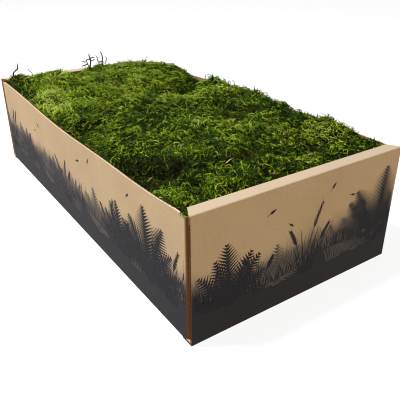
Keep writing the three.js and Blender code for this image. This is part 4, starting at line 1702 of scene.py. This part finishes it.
tufts = shoot_group("tufts", 8, add_tuft, TUFTS)
strands = shoot_group("strands", 5, add_strand, STRANDS)
tree = growth_tree()
for number, (node, points) in enumerate(SHEETS.items()):
    ring = drawn_in(points, SEAM_PLAY)
    carpet, top_faces = make_mat(
        node.replace("_sheet", "_carpet"),
        ring,
        MAT_PITCH,
        lambda x, y: crown(x, y) - MAT_SINK + lumps(x, y),
        lambda x, y: LAYER_TOPS[-1] + 4 + 1.5 * rough(x, y, TUFT_WIDTH, 1),
    )
    mark_mat(carpet, top_faces)
    spread(carpet)
    face_outwards(carpet)
    shoots = placed(node.replace("_sheet", "_shoots"), carpet.data.copy())

    low = {"Shoots": tufts, "Keep Mat": True, "Spacing": TUFT_SPACING * MM, "Seed": 20 + number}
    finish_growth(grow(carpet, tree, GROWTH | low), node)

    sprigs = make_sprigs("sprigs", ring)
    finer = FINER.get(node, 1)
    high = {
        "Shoots": strands,
        "Sprigs": sprigs,
        "Spacing": STRAND_SPACING * finer * MM,
        "Seed": 40 + number,
        "Least Size": LEAST_SIZE * finer,
        "Most Size": finer,
    }
    finish_growth(grow(shoots, tree, GROWTH | high), node)
    bpy.data.objects.remove(sprigs)

for group in (tufts, strands):
    for made in list(group.objects):
        bpy.data.objects.remove(made)
    bpy.data.collections.remove(group)

JOINS = [46, -64, 30]
BURIED_PITCH = 9


def buried_level(x, y, layer):
    """The level between one buried layer and the next"""
    swell = math.sin(x / 37 + layer) * math.cos(y / 49 + 2 * layer)
    return LAYER_TOPS[layer] + LAYER_SWELL * swell


def buried_under(x, y, layer):
    if layer == 0:
        return BOARD + 0.4 + 0.5 * abs(rough(x, y, MAT_GRAIN, 2))
    return buried_level(x, y, layer - 1) + 0.6


for layer, join in enumerate(JOINS):
    for end, low, high in (("front", -INNER_Y, join - JOIN_PLAY), ("back", join + JOIN_PLAY, INNER_Y)):
        node = f"buried_moss_sheet_{layer + 1}_{end}"
        piece, _ = make_mat(
            node.replace("_sheet_", "_mat_"),
            drawn_in(rectangle(-INNER_X, low, INNER_X, high), SEAM_PLAY),
            BURIED_PITCH,
            lambda x, y: buried_level(x, y, layer) - 1.2 + rough(x, y, MAT_GRAIN, layer),
            lambda x, y: buried_under(x, y, layer),
        )
        spread(piece)
        face_outwards(piece)
        piece.data.materials.append(mat_finish)
        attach(piece, "root")
        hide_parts(node)

# Floor, light and camera

FLOOR_REACH = 9000
FLOOR_LEVEL = -0.3
floor_corners = rectangle(-FLOOR_REACH, -FLOOR_REACH, FLOOR_REACH, FLOOR_REACH)
floor_corners = [(x, y, FLOOR_LEVEL) for x, y in floor_corners]
floor = new_object("studio_floor", floor_corners, [(0, 1, 2, 3)], floor_finish)


def add_light(name, place, size, power, colour):
    """A round lamp that looks at the tray"""
    lamp = bpy.data.lights.new(name, "AREA")
    lamp.shape = "DISK"
    lamp.size = size
    lamp.energy = power
    lamp.color = colour
    made = placed(name, lamp)
    made.location = place
    made.rotation_euler = (Vector((0, 0, 0.1)) - Vector(place)).to_track_quat("-Z", "Y").to_euler()


add_light("key", (-0.98, 0.35, 2.05), 0.4, 102, (0.95, 1.0, 1.14))
add_light("front_fill", (0.3, -2.4, 0.9), 1.4, 10, (1.0, 0.7, 0.42))

AIR_STRENGTH = 0.2
world = bpy.data.worlds.new("studio_air")
world.use_nodes = True
air = world.node_tree.nodes["Background"].inputs
air["Color"].default_value = (1, 1, 1, 1)
air["Strength"].default_value = AIR_STRENGTH
bpy.context.scene.world = world
bpy.context.scene.view_settings.view_transform = "Standard"
bpy.context.scene.cycles.filter_width = 1.1

CAMERA_PLACE = (-342.9, -608.2, 348.1)
CAMERA_YAW = 34.293
CAMERA_PITCH = 25.737
CAMERA_ROLL = 0.128
FOCAL_PIXELS = 498.02
IMAGE_PIXELS = 400
SENSOR = 36
SHIFT_PIXELS = -12

lens = bpy.data.cameras.new("camera")
lens.sensor_width = SENSOR
lens.lens = SENSOR * FOCAL_PIXELS / IMAGE_PIXELS
lens.shift_y = SHIFT_PIXELS / IMAGE_PIXELS
lens.clip_start = 0.01
lens.clip_end = 60
camera = placed("camera", lens)
camera.location = [value * MM for value in CAMERA_PLACE]
camera.rotation_euler = ((90 - CAMERA_PITCH) * DEGREE, CAMERA_ROLL * DEGREE, -CAMERA_YAW * DEGREE)
bpy.context.scene.camera = camera
